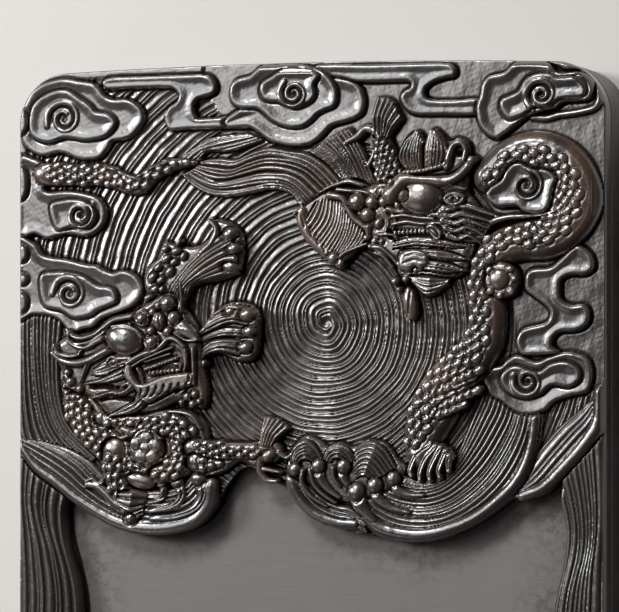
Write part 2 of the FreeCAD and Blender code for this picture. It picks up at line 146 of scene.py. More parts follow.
# ------------------------------------------------------------------ the stone's outline
@dataclass(frozen=True)
class Outline:
    """The stone seen from above: straight sides, slightly bowed ends and round corners, in mm."""

    half_width: float
    half_length: float
    bow: float = 1.94
    corner: float = 14.0

    def inside(self, x: Array, y: Array) -> Array:
        """Distance inside the outline: that of a rounded box whose half length falls to the corners."""
        reach = self.half_length - self.bow * np.clip(x / self.half_width, -1, 1) ** 2
        qx = np.abs(x) - (self.half_width - self.corner)
        qy = np.abs(y) - (reach - self.corner)
        outer = np.hypot(np.maximum(qx, 0), np.maximum(qy, 0))
        return self.corner - outer - np.minimum(np.maximum(qx, qy), 0)

    def snap(self, x: Array, y: Array) -> tuple[Array, Array]:
        """Moves points onto the outline, down the slope of the distance, in three steps."""
        e = 0.01
        for _ in range(3):
            d = self.inside(x, y)
            gx = (self.inside(x + e, y) - self.inside(x - e, y)) / (2 * e)
            gy = (self.inside(x, y + e) - self.inside(x, y - e)) / (2 * e)
            x, y = x - d * gx, y - d * gy
        return x, y

    def ring(self, count: int) -> Array:
        """Points round the outline, anticlockwise: an ellipse's, moved onto it."""
        a = np.linspace(0, 2 * math.pi, count, endpoint=False)
        grow = 1 / np.maximum(np.abs(np.cos(a)) / self.half_width, np.abs(np.sin(a)) / self.half_length)
        x, y = self.snap(np.cos(a) * grow, np.sin(a) * grow)
        loop = np.stack([x, y], -1)
        return evenly(np.vstack([loop, loop[:1]]), count + 1)[:-1]


# ------------------------------------------------------------------ the relief
class Relief:
    """The height map of the stone's top and the map of its regions, with the stamps that carve them."""

    def __init__(self, outline: Outline, pitch: float = PITCH) -> None:
        """Lays a level map over the outline.

        Args:
            outline: the stone's outline.
            pitch: spacing of the map, in mm.
        """
        self.outline = outline
        self.pitch = pitch
        self.nx = 2 * int(round(outline.half_width / pitch)) + 1
        self.ny = 2 * int(round(outline.half_length / pitch)) + 1
        self.x = np.linspace(-outline.half_width, outline.half_width, self.nx, dtype=np.float32)
        self.y = np.linspace(-outline.half_length, outline.half_length, self.ny, dtype=np.float32)
        self.z = np.full((self.ny, self.nx), BLANK_HEIGHT, np.float32)
        self.names: list[str] = ["blank"]
        self.region = np.zeros((self.ny, self.nx), np.uint8)
        self.current = 0

    def spread(self) -> None:
        """Gives each unlabelled point the region of a labelled neighbour, until none is left."""
        while (self.region == 0).any():
            for axis, step in ((0, 1), (0, -1), (1, 1), (1, -1)):
                beside = np.roll(self.region, step, axis)
                bare = (self.region == 0) & (beside > 0)
                self.region[bare] = beside[bare]

    def label(self, name: str) -> None:
        """The stamps that follow belong to this region."""
        if name not in self.names:
            self.names.append(name)
        self.current = self.names.index(name)

    def window(self, points: Array, margin: float) -> tuple[tuple[slice, slice], Array, Array]:
        """The part of the map round some points: its slices, and its x and y."""
        low, high = points.min(0) - margin, points.max(0) + margin
        i0, i1 = np.searchsorted(self.x, [low[0], high[0]])
        j0, j1 = np.searchsorted(self.y, [low[1], high[1]])
        where = (slice(max(j0, 0), j1), slice(max(i0, 0), i1))
        gx, gy = np.meshgrid(self.x[where[1]], self.y[where[0]])
        return where, gx, gy

    @staticmethod
    def to_path(gx: Array, gy: Array, path: Array) -> tuple[Array, Array, Array]:
        """For each map point: the distance to the path, the length along it, and the side it is on."""
        best = np.full(gx.shape, 1e9, np.float32)
        along = np.zeros(gx.shape, np.float32)
        side = np.zeros(gx.shape, np.float32)
        start = 0.0
        for a, b in zip(path[:-1], path[1:]):
            d = b - a
            length = float(np.hypot(*d))
            if length < 1e-9:
                continue
            px, py = gx - a[0], gy - a[1]
            t = np.clip((px * d[0] + py * d[1]) / length**2, 0, 1)
            dist = np.hypot(px - t * d[0], py - t * d[1])
            near = dist < best
            best = np.where(near, dist, best)
            along = np.where(near, start + t * length, along)
            side = np.where(near, np.sign(d[0] * py - d[1] * px), side)
            start += length
        return best, along, side

    def put(self, where: tuple[slice, slice], value: Array, mask: Array, over: bool = True) -> None:
        """Writes heights where mask is true: over what is there, or only where they are higher."""
        z = self.z[where]
        take = mask if over else mask & (value > z)
        z[take] = value[take]
        self.region[where][take] = self.current

    def inset(self, outline: Points, margin: float = 1.0) -> tuple:
        """The signed distance inside a smooth closed outline, over its own window."""
        loop = smooth_curve(outline, closed=True, step=0.6)
        where, gx, gy = self.window(loop, margin)
        dist = self.to_path(gx, gy, np.vstack([loop, loop[:1]]))[0]
        odd = np.zeros(gx.shape, bool)
        for a, b in zip(loop, np.roll(loop, -1, axis=0)):
            if a[1] == b[1]:
                continue
            crosses = (gy < max(a[1], b[1])) & (gy >= min(a[1], b[1]))
            odd ^= crosses & (gx < a[0] + (gy - a[1]) * (b[0] - a[0]) / (b[1] - a[1]))
        return where, gx, gy, np.where(odd, dist, -dist)

    def plateau(self, outline: Points, top: float, edge: float = 1.0, drop: float = 2.0,
                dish: float = 0.0, reach: float = 3.0, moat: float = 0.5) -> None:
        """A raised flat with a rounded edge: top, less a quarter circle of the edge's drop.

        Args:
            outline: its outline.
            top: its height, in mm.
            edge: width of the rounding.
            drop: how far the rounding falls.
            dish: how far the middle is hollowed below the rim.
            reach: how far from the rim the hollow is at its deepest.
            moat: depth of the cut round its foot.
        """
        where, _, _, d = self.inset(outline)
        body = top - drop * (1 - dome(d / edge)) - dish * smoothstep(d, edge, reach)
        if moat:
            cut = moat * np.clip(1 + d / 0.9, 0, 1) ** 2
            self.z[where][d <= 0] -= cut[d <= 0]
        self.put(where, body.astype(np.float32), d > 0)

    def rib(self, points: Points, width: float, height: float, end_width: float | None = None,
            top: float | None = None, over: bool = False, lift: float = 0.0) -> None:
        """A rounded ridge along a path, narrowing to its end: its section is half an ellipse.

        Args:
            points: the path.
            width: full width at its start.
            height: how far it stands at its start.
            end_width: full width at its end; the same as at its start if not given.
            top: level that it stands on; the surface under it if not given.
            over: whether it replaces what is higher.
            lift: how far its foot rises from start to end.
        """
        path = smooth_curve(points, step=0.5)
        end = width if end_width is None else end_width
        where, gx, gy = self.window(path, max(width, end))
        dist, along, _ = self.to_path(gx, gy, path)
        share = along / max(curve_length(path), 1e-6)
        half = 0.5 * (width + (end - width) * share)
        inside = np.clip(1 - (dist / half) ** 2, 0, 1) ** 0.5
        base = self.z[where] if top is None else top + lift * share
        size = height * (0.35 + 0.65 * half * 2 / max(width, end))
        value = base + size * inside
        self.put(where, value.astype(np.float32), dist < half, over)

    def groove(self, points: Points, width: float, depth: float, closed: bool = False) -> None:
        """A cut along a path: its depth times a squared bell across its width. It changes no region."""
        path = smooth_curve(points, closed, step=0.5)
        if closed:
            path = np.vstack([path, path[:1]])
        where, gx, gy = self.window(path, width)
        dist, along, _ = self.to_path(gx, gy, path)
        share = along / max(curve_length(path), 1e-6)
        ends = np.ones_like(share) if closed else np.minimum(1, np.minimum(share, 1 - share) * 8 + 0.3)
        bell = np.clip(1 - (dist / (width / 2)) ** 2, 0, 1) ** 1.5
        self.z[where] -= (depth * ends * bell).astype(np.float32)

    def ball(self, x: float, y: float, rx: float, top: float, ry: float | None = None,
             turn: float = 0.0, high: float | None = None, moat: float = 0.5) -> None:
        """A domed lump: half an ellipsoid of radii rx and ry, high at its middle, turned by degrees."""
        ry = rx if ry is None else ry
        high = min(rx, ry) if high is None else high
        where, gx, gy = self.window(np.array([[x, y]]), max(rx, ry) + 1)
        c, s = math.cos(math.radians(turn)), math.sin(math.radians(turn))
        u = ((gx - x) * c + (gy - y) * s) / rx
        v = (-(gx - x) * s + (gy - y) * c) / ry
        r = np.hypot(u, v)
        if moat:
            out = (r - 1) * min(rx, ry)
            ring = (out > 0) & (out < 0.7)
            self.z[where][ring] -= (moat * (1 - out / 0.7))[ring].astype(np.float32)
        value = top - high * (1 - np.sqrt(np.clip(1 - r**2, 0, 1)))
        self.put(where, value.astype(np.float32), r < 1)

    def sheaf(self, guides: Sequence[Points], ridges: int, level: float | Sequence[float], depth: float,
              sharp: float = 0.6, crown: float = 0.6, uneven: float = 0.25, seed: int = 1,
              rims: float = 1.0) -> None:
        """Parallel strands between guide curves that run the same way.

        A point of the sheet is a cubic mix of the guides at the same share of their lengths. Its height
        is the level, plus a crown across the sheet, less the valleys between the strands. Strands differ
        a little in width and height.

        Args:
            guides: two or more curves, side by side.
            ridges: number of strands.
            level: height of the crests, or heights at start, (middle) and end.
            depth: depth of the valleys.
            sharp: power of the valleys' section.
            crown: how much higher the middle is than the two sides.
            uneven: how much the strands differ.
            seed: which set of differences.
            rims: width of the fall at the two sides, in strands.
        """
        curves = [smooth_curve(g) for g in guides]
        longest = max(curve_length(c) for c in curves)
        coarse = [evenly(c, 20) for c in curves]
        widest = max(np.linalg.norm(a - b, axis=1).max() for a, b in zip(coarse[:-1], coarse[1:]))
        ns = int(longest / (self.pitch * 0.7)) + 2
        nt = int(widest * (len(curves) - 1) / (self.pitch * 0.7)) + 2
        g = np.stack([evenly(c, ns) for c in curves])
        g = np.concatenate([2 * g[:1] - g[1:2], g, 2 * g[-1:] - g[-2:-1]])
        t = np.linspace(0, 1, nt)
        w = t * (len(curves) - 1)
        k = np.minimum(w.astype(int), len(curves) - 2)
        u = (w - k)[:, None, None]
        a, b, c, d = g[k], g[k + 1], g[k + 2], g[k + 3]
        p = 0.5 * (2 * b + (c - a) * u + (2 * a - 5 * b + 4 * c - d) * u**2 + (3 * b - a - 3 * c + d) * u**3)
        s = np.linspace(0, 1, ns)
        rng = np.random.default_rng(seed)
        widths = np.cumsum(np.r_[0, 1 + uneven * rng.uniform(-1, 1, ridges)])
        f = np.interp(t, widths / widths[-1], np.arange(ridges + 1))
        high = 1 + uneven * rng.uniform(-1, 1, ridges + 1)[np.minimum(f.astype(int), ridges)]
        levels = np.atleast_1d(level)
        base = np.interp(s, np.linspace(0, 1, len(levels)), levels)[None, :]
        across = np.minimum(f, ridges - f) / max(rims, 1e-6)
        rim = (1 - dome(across))[:, None]
        z = (base + crown * (np.sin(np.pi * t)[:, None] - 0.5)
             - depth * high[:, None] * (1 - strand(f, sharp))[:, None] - 0.8 * rim)
        self.splat(p.reshape(-1, 2), z.ravel())

    def splat(self, points: Array, heights: Array) -> None:
        """Writes scattered heights on the map: the mean of those at each map point, small gaps closed."""
        where, gx, gy = self.window(points, 1.0)
        rows, cols = gx.shape
        i = np.rint((points[:, 0] - gx[0, 0]) / self.pitch).astype(int)
        j = np.rint((points[:, 1] - gy[0, 0]) / self.pitch).astype(int)
        ok = (i >= 0) & (i < cols) & (j >= 0) & (j < rows)
        flat = j[ok] * cols + i[ok]
        count = np.bincount(flat, minlength=rows * cols).reshape(rows, cols)
        total = np.bincount(flat, heights[ok], minlength=rows * cols).reshape(rows, cols)
        mean = np.where(count > 0, total / np.maximum(count, 1), 0)
        full = count > 0
        around = sum(np.roll(full, (a, b), (0, 1)).astype(int) for a in (-1, 0, 1) for b in (-1, 0, 1))
        sums = sum(np.roll(mean * full, (a, b), (0, 1)) for a in (-1, 0, 1) for b in (-1, 0, 1))
        gap = ~full & (around >= 5)
        mean[gap] = (sums / np.maximum(around, 1))[gap]
        self.put(where, mean.astype(np.float32), full | gap)

    def body(self, points: Points, widths: Sequence[float], foot: Sequence[float], height: float,
             belly: float) -> None:
        """A smooth round body along a path: a circle's arc across it, and a belly band with cross ribs.

        Args:
            points: the path.
            widths: body widths, evenly spread from start to end.
            foot: heights of its foot, evenly spread from start to end.
            height: how far the middle stands above the foot.
            belly: width of the belly band, on the right-hand side.
        """
        path = smooth_curve(points, step=0.8)
        total = curve_length(path)
        where, gx, gy = self.window(path, max(widths))
        dist, along, side = self.to_path(gx, gy, path)
        share = along / total
        half = np.interp(share, np.linspace(0, 1, len(widths)), widths) / 2
        base = np.interp(share, np.linspace(0, 1, len(foot)), foot)
        q = np.clip(dist / half, 0, 1)
        value = base + height * np.sqrt(1 - q**2)
        if belly:
            plain = smoothstep(-dist * side, half - belly, half - belly + 0.8)
            value += 0.25 * plain * (0.55 + 0.25 * strand(along / 2.1, 0.6)) * np.sqrt(1 - q**4)
        self.put(where, value.astype(np.float32), dist < half)

    def studded(self, points: Points, widths: Sequence[float], foot: Sequence[float], height: float,
                size: float, bump: float, belly: float = 0.0, seed: int = 1) -> None:
        """A round body with single raised scales set over it in staggered rows, each a little uneven.

        A scale stands at each lattice point of the body's length and girth, moved and turned a little.

        Args:
            points: the path.
            widths: body widths, evenly spread from start to end.
            foot: heights of its foot, evenly spread from start to end.
            height: how far the middle stands above the foot.
            size: spacing of the scales.
            bump: how far a scale stands.
            belly: width of the plain belly band on the right-hand side.
            seed: which set of small differences.
        """
        self.body(points, widths, foot, height, belly)
        path = smooth_curve(points, step=0.5)
        total = curve_length(path)
        rng = np.random.default_rng(seed)
        count = int(total / (0.86 * size))
        spots = evenly(path, count)
        ahead = np.gradient(spots, axis=0)
        ahead /= np.linalg.norm(ahead, axis=1, keepdims=True)
        for k in range(1, count):
            share = k / max(count - 1, 1)
            half = float(np.interp(share, np.linspace(0, 1, len(widths)), widths)) / 2
            base = float(np.interp(share, np.linspace(0, 1, len(foot)), foot))
            turn = math.degrees(math.atan2(ahead[k, 1], ahead[k, 0]))
            rows = np.arange(-4, 5) * size * 0.92 + (k % 2) * size * 0.46
            for off in rows[(rows < half - 0.3 * size) & (rows > 0.3 * size + belly - half)]:
                dx, dy = rng.normal(0, 0.07 * size, 2)
                x = spots[k, 0] - ahead[k, 1] * off + dx
                y = spots[k, 1] + ahead[k, 0] * off + dy
                lift = bump * rng.uniform(0.75, 1.15)
                self.ball(x, y, 0.60 * size, base + height * math.sqrt(1 - (off / half) ** 2) + lift,
                    ry=0.48 * size, turn=turn + rng.normal(0, 14), high=1.15 * bump, moat=0.22)

    def pit(self, x: float, y: float, radius: float, depth: float) -> None:
        """A round hollow: depth times a bell across its radius."""
        where, gx, gy = self.window(np.array([[x, y]]), radius + 0.5)
        r = np.hypot(gx - x, gy - y) / radius
        self.z[where] -= (depth * np.clip(1 - r**2, 0, 1)).astype(np.float32)

    def lower(self, outline: Points, level: float, soft: float = 1.5) -> None:
        """Sinks the stone inside an outline to a level, sloping over the soft width. It keeps regions."""
        where, _, _, d = self.inset(outline)
        share = smoothstep(d, 0, soft)
        z = self.z[where]
        self.z[where] = np.where(d > 0, np.minimum(z, z * (1 - share) + level * share), z)


def spiral(x: float, y: float, r0: float, r1: float, start: float, turns: float) -> list[tuple[float, float]]:
    """Points of a spiral from radius r0 to r1: its radius falls evenly as its angle turns (in degrees)."""
    count = max(4, int(abs(turns) * 10) + 1)
    a = np.radians(start + 360 * turns * np.linspace(0, 1, count))
    r = np.linspace(r0, r1, count)
    return list(zip(x + r * np.cos(a), y + r * np.sin(a)))


# ------------------------------------------------------------------ the carving, back to front
class Carving:
    """One sub-assembly of the relief: it stamps its features on the map."""

    def carve(self, relief: Relief) -> None:
        """Stamps this part of the carving on the relief."""
        raise NotImplementedError


@dataclass
class Ground(Carving):
    """The swirl and the water round it: spiral ridges on a shallow dish, and plain recesses."""

    centre: tuple[float, float] = (5.75, 55.6)
    level: float = 29.4
    rise: float = 2.0
    pitch: float = 1.06
    coarse: float = 1.7
    arms: int = 3
    depth: float = 0.9
    picture_edge: tuple = ((-90, 21), (-84, 17.5), (-75, 9.8), (-65, 3.4), (-55, -1.5), (-45, -4),
        (-35, -3), (-27, 2), (-22.5, 10), (-17, 15), (-9, 13), (-4.5, 11), (-1, 5), (4, 0.5), (12, -1.8),
        (22, -3), (32, -4), (45, -1.5), (54, 4), (62, 9), (72, 14), (80, 21.5), (90, 36))
    recess: tuple = ((-26, 131), (-25, 112), (-18, 107), (-8, 104.5), (4, 103.5), (12, 107), (19, 103),
        (24, 92), (50, 92), (57, 72), (60, 55), (62, 44), (90, 42), (90, 131), (30, 131))

    def picture_floor(self, x: Array) -> Array:
        """The y of the picture's lower edge at each x."""
        edge = smooth_curve(self.picture_edge, step=0.5)
        return np.interp(x, edge[:, 0], edge[:, 1])

    def carve(self, relief: Relief) -> None:
        """Fills the picture with ridges: one cord per turn of a spiral whose pitch depends on radius."""
        rows = slice(int(np.searchsorted(relief.y, -8.0)), relief.ny)
        gx, gy = np.meshgrid(relief.x, relief.y[rows])
        picture = gy > self.picture_floor(relief.x)[None, :]
        dx, dy = gx - self.centre[0], gy - self.centre[1]
        r, a = np.hypot(dx, dy), np.arctan2(dy, dx)
        waver = 0.30 * np.sin(2 * a + 1) + 0.16 * np.sin(5 * a - r / 5) + 0.14 * noise(gx, gy, 9, 3)
        table = np.linspace(0, 160, 900)
        fine = np.cumsum((table[1] - table[0]) / (self.pitch + 0.6 * np.exp(-(table / 6.5) ** 2)))
        turns = np.interp(r + waver, table, fine)
        upper_left = (r > 19.3) & (a > 1.4) | (r > 19.3) & (a < -2.95)
        turns = np.where(upper_left, np.interp(19.3, table, fine) + (r + waver - 19.3) / self.coarse, turns)
        f = turns + self.arms * a / (2 * math.pi)
        f = f + 0.20 * np.sin(2 * math.pi * f / 3) + 0.10 * np.sin(2 * math.pi * f / 1.5 + 1)
        depth = self.depth * (1 + 0.25 * noise(gx, gy, 6, 5)) * np.where(upper_left, 0.95, 1)
        high = self.level + self.rise * smoothstep(r, 3, 46) + 0.10 * np.sin(2 * math.pi * f / 3 + 2)
        z = high - depth * (1 - strand(f, 0.6)) * smoothstep(r, 0.6, 2.2)
        z -= 1.3 * np.clip(1 - (r / 1.9) ** 2, 0, 1)
        rim = smoothstep(relief.outline.inside(gx, gy), 1.6, 3.2)
        z = z * rim + 31.9 * (1 - rim)
        relief.label("ink_pool")
        where = (rows, slice(0, relief.nx))
        relief.put(where, z.astype(np.float32), picture)
        relief.label("picture_ground")
        around = picture & ((r > 44) | (gx > 52) | (gy > 103) | (gx < -31))
        relief.region[where][around] = relief.current
        win, wx, wy, d = relief.inset(self.recess, 1.0)
        flat = 31.3 + 0.05 * noise(wx, wy, 9, 9) + 0.008 * noise(wx, wy, 1.3, 10)
        blend = smoothstep(d, 0, 1.2)
        relief.put(win, (relief.z[win] * (1 - blend) + flat * blend).astype(np.float32), d > 0)


@dataclass
class Hall(Carving):
    """The honed hall and the ridged borders of running water beside it and below it."""

    floor: float = 27.0
    hollow: float = 0.5
    top: float = 33.0
    rim: tuple = ((-60, 20), (-69.5, 6), (-70.4, -3), (-68, -13), (-65.8, -24), (-66.5, -38), (-69.5, -52),
        (-70.5, -66), (-68.5, -82), (-66, -96), (-58, -109), (-42, -115.5), (-20, -117), (0, -117.3),
        (20, -117), (42, -115.5), (58, -109), (66, -96), (69.5, -82), (72.5, -66), (72, -52), (70, -36),
        (70.3, -22), (72.8, -10), (73.4, -2), (72, 6), (68, 20), (30, 30), (-20, 30))

    def surface(self, x: Array, y: Array) -> Array:
        """The floor's height: its level, less a shallow hollow towards the middle of the hall."""
        across, along = np.clip(1 - (x / 70) ** 2, 0, 1), np.clip(1 - ((y + 52) / 66) ** 2, 0, 1)
        return self.floor - self.hollow * across * along

    def carve(self, relief: Relief) -> None:
        """Sinks the hall below the picture's edge and runs the border's ridges round it."""
        for side, guides in self.sides().items():
            relief.label(side)
            relief.sheaf(guides, 10 if side != "border_foot" else 7, self.top, 0.9, sharp=0.55, crown=0.7,
                uneven=0.6, seed=len(side), rims=0.5)
        where, gx, gy, d = relief.inset(self.rim, 6.0)
        ground = Ground()
        below = gy < ground.picture_floor(relief.x[where[1]])[None, :]
        floor = self.surface(gx, gy)
        wall = smoothstep(d, -1.6, 0.6)
        z = relief.z[where]
        sunk = z * (1 - wall) + floor * wall
        z[below] = sunk[below]
        relief.label("grinding_hall")
        relief.region[where][below & (d > 0.6)] = relief.current

    def sides(self) -> dict[str, list[Points]]:
        """Guide curves of the three stretches of border, from the stone's edge inwards."""
        left_out = [(-85.5, 24), (-85.5, 0), (-85.5, -25), (-85.5, -60), (-86, -95), (-86.4, -114),
            (-83, -124), (-70, -129)]
        left_mid = [(-77, 18), (-79.5, 4), (-76.5, -10), (-75, -24), (-76.5, -45), (-78, -66), (-76.5, -90),
            (-71, -108), (-58, -120)]
        left_in = [(-68.5, 10), (-70.8, 2), (-70, -8), (-66.6, -20), (-66.2, -36), (-69.4, -54),
            (-70.2, -70), (-68, -86), (-62, -102), (-50, -112.5)]
        right_out = [(85.5, 42)] + [(-x, y) for x, y in left_out[1:]]
        right_in = [(69, 17), (73.5, 4), (74.2, -4), (72, -14), (70, -26), (70, -38), (72, -52), (72, -68),
            (68.5, -86), (62, -102), (50, -112.5)]
        right_mid = [(76.4, 26), (79.5, 8), (80, -4), (77.5, -16), (76.5, -30), (77.5, -45), (78.5, -66),
            (76.5, -90), (71, -108), (58, -120)]
        foot_out = [(-84, -126), (-60, -128.6), (-30, -128.8), (0, -128.8), (30, -128.8), (60, -128.6),
            (84, -126)]
        foot_mid = [(-60, -114), (-48, -119.5), (-24, -123), (0, -122), (24, -123), (48, -119.5), (60, -114)]
        foot_in = [(-56, -107), (-44, -114), (-22, -116.4), (0, -116.8), (22, -116.4), (44, -114), (56, -107)]
        return {
            "border_foot": [foot_out, foot_mid, foot_in],
            "border_left": [left_out, left_mid, left_in],
            "border_right": [right_out, right_mid, right_in],
        }


@dataclass
class Water(Carving):
    """The curtain of falling water at the left, and the wave bowls with their curling crests."""

    def carve(self, relief: Relief) -> None:
        """Stamps the curtain, then the bowls, their crests and the balls of spray."""
        relief.label("water_curtain")
        outer = [(-85.6, 62), (-85.6, 45), (-85.6, 30), (-84.5, 21), (-78, 13)]
        middle = [(-79, 60), (-79, 45), (-77.5, 32), (-74, 23.5), (-66, 15)]
        inner = [(-71.5, 57), (-72.6, 46), (-72.3, 34), (-69, 25.5), (-60, 18)]
        relief.sheaf([outer, middle, inner], 11, 32.6, 0.9, crown=0.5, uneven=0.5, seed=4)
        relief.label("wave_bowl_left")
        rim = [(-85.6, 19), (-80, 12.6), (-73.7, 8.2), (-65.1, 2.2), (-54.3, -3), (-43.1, -4.3),
            (-31.9, -1.9), (-25.8, 3.4), (-24.3, 10.5)]
        mid = [(-84, 22), (-76, 18.5), (-68.5, 14), (-62, 8.5), (-53, 3.5), (-43, 2.2), (-34, 4),
            (-29.5, 8), (-28.5, 12)]
        inside = [(-76, 21.5), (-70, 20), (-63, 16.5), (-58, 12), (-51.5, 9), (-43.5, 8.4), (-37, 9.6),
            (-33.6, 12), (-33, 14)]
        relief.sheaf([inside, mid, rim], 9, 33.4, 0.95, crown=0.9, uneven=0.6, seed=6, rims=0.7)
        relief.rib([(-84.6, 20.6), (-79.4, 14.4), (-73, 10), (-64.4, 4.1), (-53.8, -1), (-43, -2.3),
            (-32.6, -0.2), (-27.8, 4.2), (-26.6, 10)], 2.6, 1.5, 4.4, top=32.3, over=True, lift=0.9)
        self.bowl_right(relief)
        self.crests(relief)

    def bowl_right(self, relief: Relief) -> None:
        """The right bowl: ridges parallel to its rim that climb to the clouds, and the outer wave."""
        relief.label("wave_outer_right")
        outer = [(62, 7.4), (69.2, 9.6), (76, 16), (82, 22.6), (85.6, 28), (85.8, 36)]
        inner = [(58, 11), (63, 16), (68, 22.5), (73, 28), (78, 32), (82, 35.4)]
        relief.sheaf([inner, outer], 7, 32.8, 0.85, crown=0.6, uneven=0.6, seed=8, rims=0.7)
        relief.rib([(62.6, 8.8), (68.4, 11.4), (74.6, 17.4), (80.4, 24), (83.4, 29.4), (84.2, 37)], 3.0,
            1.6, 4.0, top=32.4, over=True)
        relief.label("wave_bowl_right")
        rim = [(14.2, 5.6), (15.6, 2), (22.5, -3.3), (31.6, -4.4), (40, -3.3), (49.7, 0.8), (57.9, 6.7),
            (63.6, 13), (67, 22), (68.4, 33)]
        two = [(19, 8), (22, 5), (28, 2.4), (35, 1.8), (42, 3.4), (49, 7.6), (55, 13.4), (59.6, 20.5),
            (62.4, 27), (63.6, 33)]
        three = [(24, 11), (27.6, 9.4), (32, 8.6), (37, 8.8), (42, 11), (47, 15.4), (51.4, 21), (55, 27),
            (57, 31), (58, 35)]
        four = [(27, 15), (30, 13.6), (34, 12.6), (38, 13.2), (41.6, 16), (44.4, 20.4), (46.6, 25.6),
            (48.8, 31), (50.4, 34.6), (51.4, 38)]
        relief.sheaf([four, three, two, rim], 19, 33.3, 0.95, crown=1.0, uneven=0.55, seed=9, rims=0.7)
        relief.rib([(16, 9.6), (16.8, 5.4), (19.4, 1.8), (23.4, -0.9), (31.6, -2.3), (39.4, -1.3),
            (48.8, 2.5), (56.4, 8.2), (61.8, 14.2), (65, 22.4), (66.4, 33)], 4.4, 2.0, 2.6, top=32.4,
            over=True, lift=0.3)
        relief.label("wave_crests")
        low = [(-4.4, 12), (-3, 8.6), (0, 4.6), (4.6, 0.9), (10.4, -1.3), (15.4, -1.4), (19, -2.6)]
        high = [(1.6, 14.6), (2.4, 11.6), (4.4, 9), (7.6, 6.8), (11, 5.6), (14, 5), (17.4, 2.4)]
        relief.sheaf([high, low], 6, 33.4, 0.95, crown=0.8, uneven=0.5, seed=10, rims=0.7)
        relief.rib([(-2.4, 14.6), (-2.6, 10.8), (-0.4, 6.6), (4, 2.8), (10, 0.7), (15.4, 0.3)], 4.0, 1.8,
            2.6, top=32.6, over=True)

    def crests(self, relief: Relief) -> None:
        """Curling crests: a scalloped band of short fans, each ending in a ball of spray."""
        relief.label("wave_crests")
        relief.plateau([(-4.3, 14), (-4.1, 18), (-2.2, 22), (1.2, 24.4), (5, 23.2), (7.6, 21.6), (11, 22.9),
            (14.9, 21.6), (19, 23.6), (24, 22.6), (27.4, 18.4), (30, 15.6), (27, 11), (21, 8), (15, 6),
            (8, 7.4), (1, 11)], 33.2, edge=1.6, drop=1.6)
        shells = (([(15, 19.4), (17, 22), (20.6, 23.2), (24.2, 21.2), (27.4, 16.2)],
            [(15.8, 12.6), (17.4, 13.6), (19, 13.2), (20.4, 12)], 8), ([(6, 18.2), (8, 21.4), (11, 22.4),
            (14, 21), (15.6, 17.6)], [(8.6, 17), (9.6, 18), (11.4, 18), (12.8, 17)], 4),
            ([(-3.6, 16.6), (-2.6, 20.8), (0.8, 23.4), (4, 22.2), (6.4, 18.2)],
            [(-0.8, 16.2), (0.4, 17.4), (2.2, 17.4), (3.6, 16.4)], 5),)
        for k, (outer, inner, ridges) in enumerate(shells):
            relief.sheaf([outer, inner], ridges, [34.0, 34.9, 34.0], 1.1, crown=0.5, uneven=0.4,
                seed=70 + k, rims=0.6)
        tails = (([(5, 15.6), (5.6, 12.6), (7.6, 10), (11, 7.6)], 3.0), ([(3, 15), (3.8, 11.4), (6.4, 8.4),
            (10, 6)], 1.8), ([(12.2, 15.6), (12.2, 13), (14, 10.4)], 3.2),
            ([(9.4, 15.6), (9.6, 13), (11.4, 10.4)], 1.6), ([(0.4, 14.6), (0.6, 11), (3.2, 7.6), (7.6, 5)],
            1.6), ([(21.3, 10.6), (22, 7.6), (26, 5), (31, 3.8)], 3.0),
            ([(26.6, 12.4), (27.6, 10), (31, 8.6), (35, 8.6)], 2.6), ([(16, 8.6), (17.4, 4.8), (21, 1.4)],
            4.4),)
        for tail, width in tails:
            relief.rib(tail, width * 1.2, 1.9, width * 0.45, top=33.3)
        balls = [(-1.6, 15, 1.7), (5.1, 16, 1.9), (12.4, 16, 1.9), (16, 9, 2.4), (21.3, 10.9, 2.1),
            (26.6, 12.9, 1.9)]
        for x, y, r in balls:
            relief.ball(x, y, r, 35.4, ry=r * 1.1, high=r * 0.7, moat=0.45)
        relief.label("wave_bowl_left")
        curls = (
            ((-30, 12), 2.3, [(-29.6, 11), (-28.8, 7), (-31.4, 3.4), (-37, 1.2), (-44, 0.6)], 4.0),
            ((-36.4, 11), 1.9, [(-36, 10), (-35.2, 6.8), (-38, 4), (-44.6, 2.6)], 3.2),
            ((-41, 10.6), 1.4, [(-40.4, 9), (-41, 6.2), (-45, 5)], 2.2),
            ((-56.5, 12.4), 1.3, [(-57, 12), (-60, 10), (-64, 9)], 1.8),
        )
        for (x, y), r, tail, width in curls:
            relief.rib(tail, width, 1.9, width * 0.4, top=33.2)
            relief.groove([(px + 0.5, py + 0.3) for px, py in tail], 0.6, 0.5)
            relief.ball(x, y, r, 35.2, high=r * 0.7, moat=0.4)


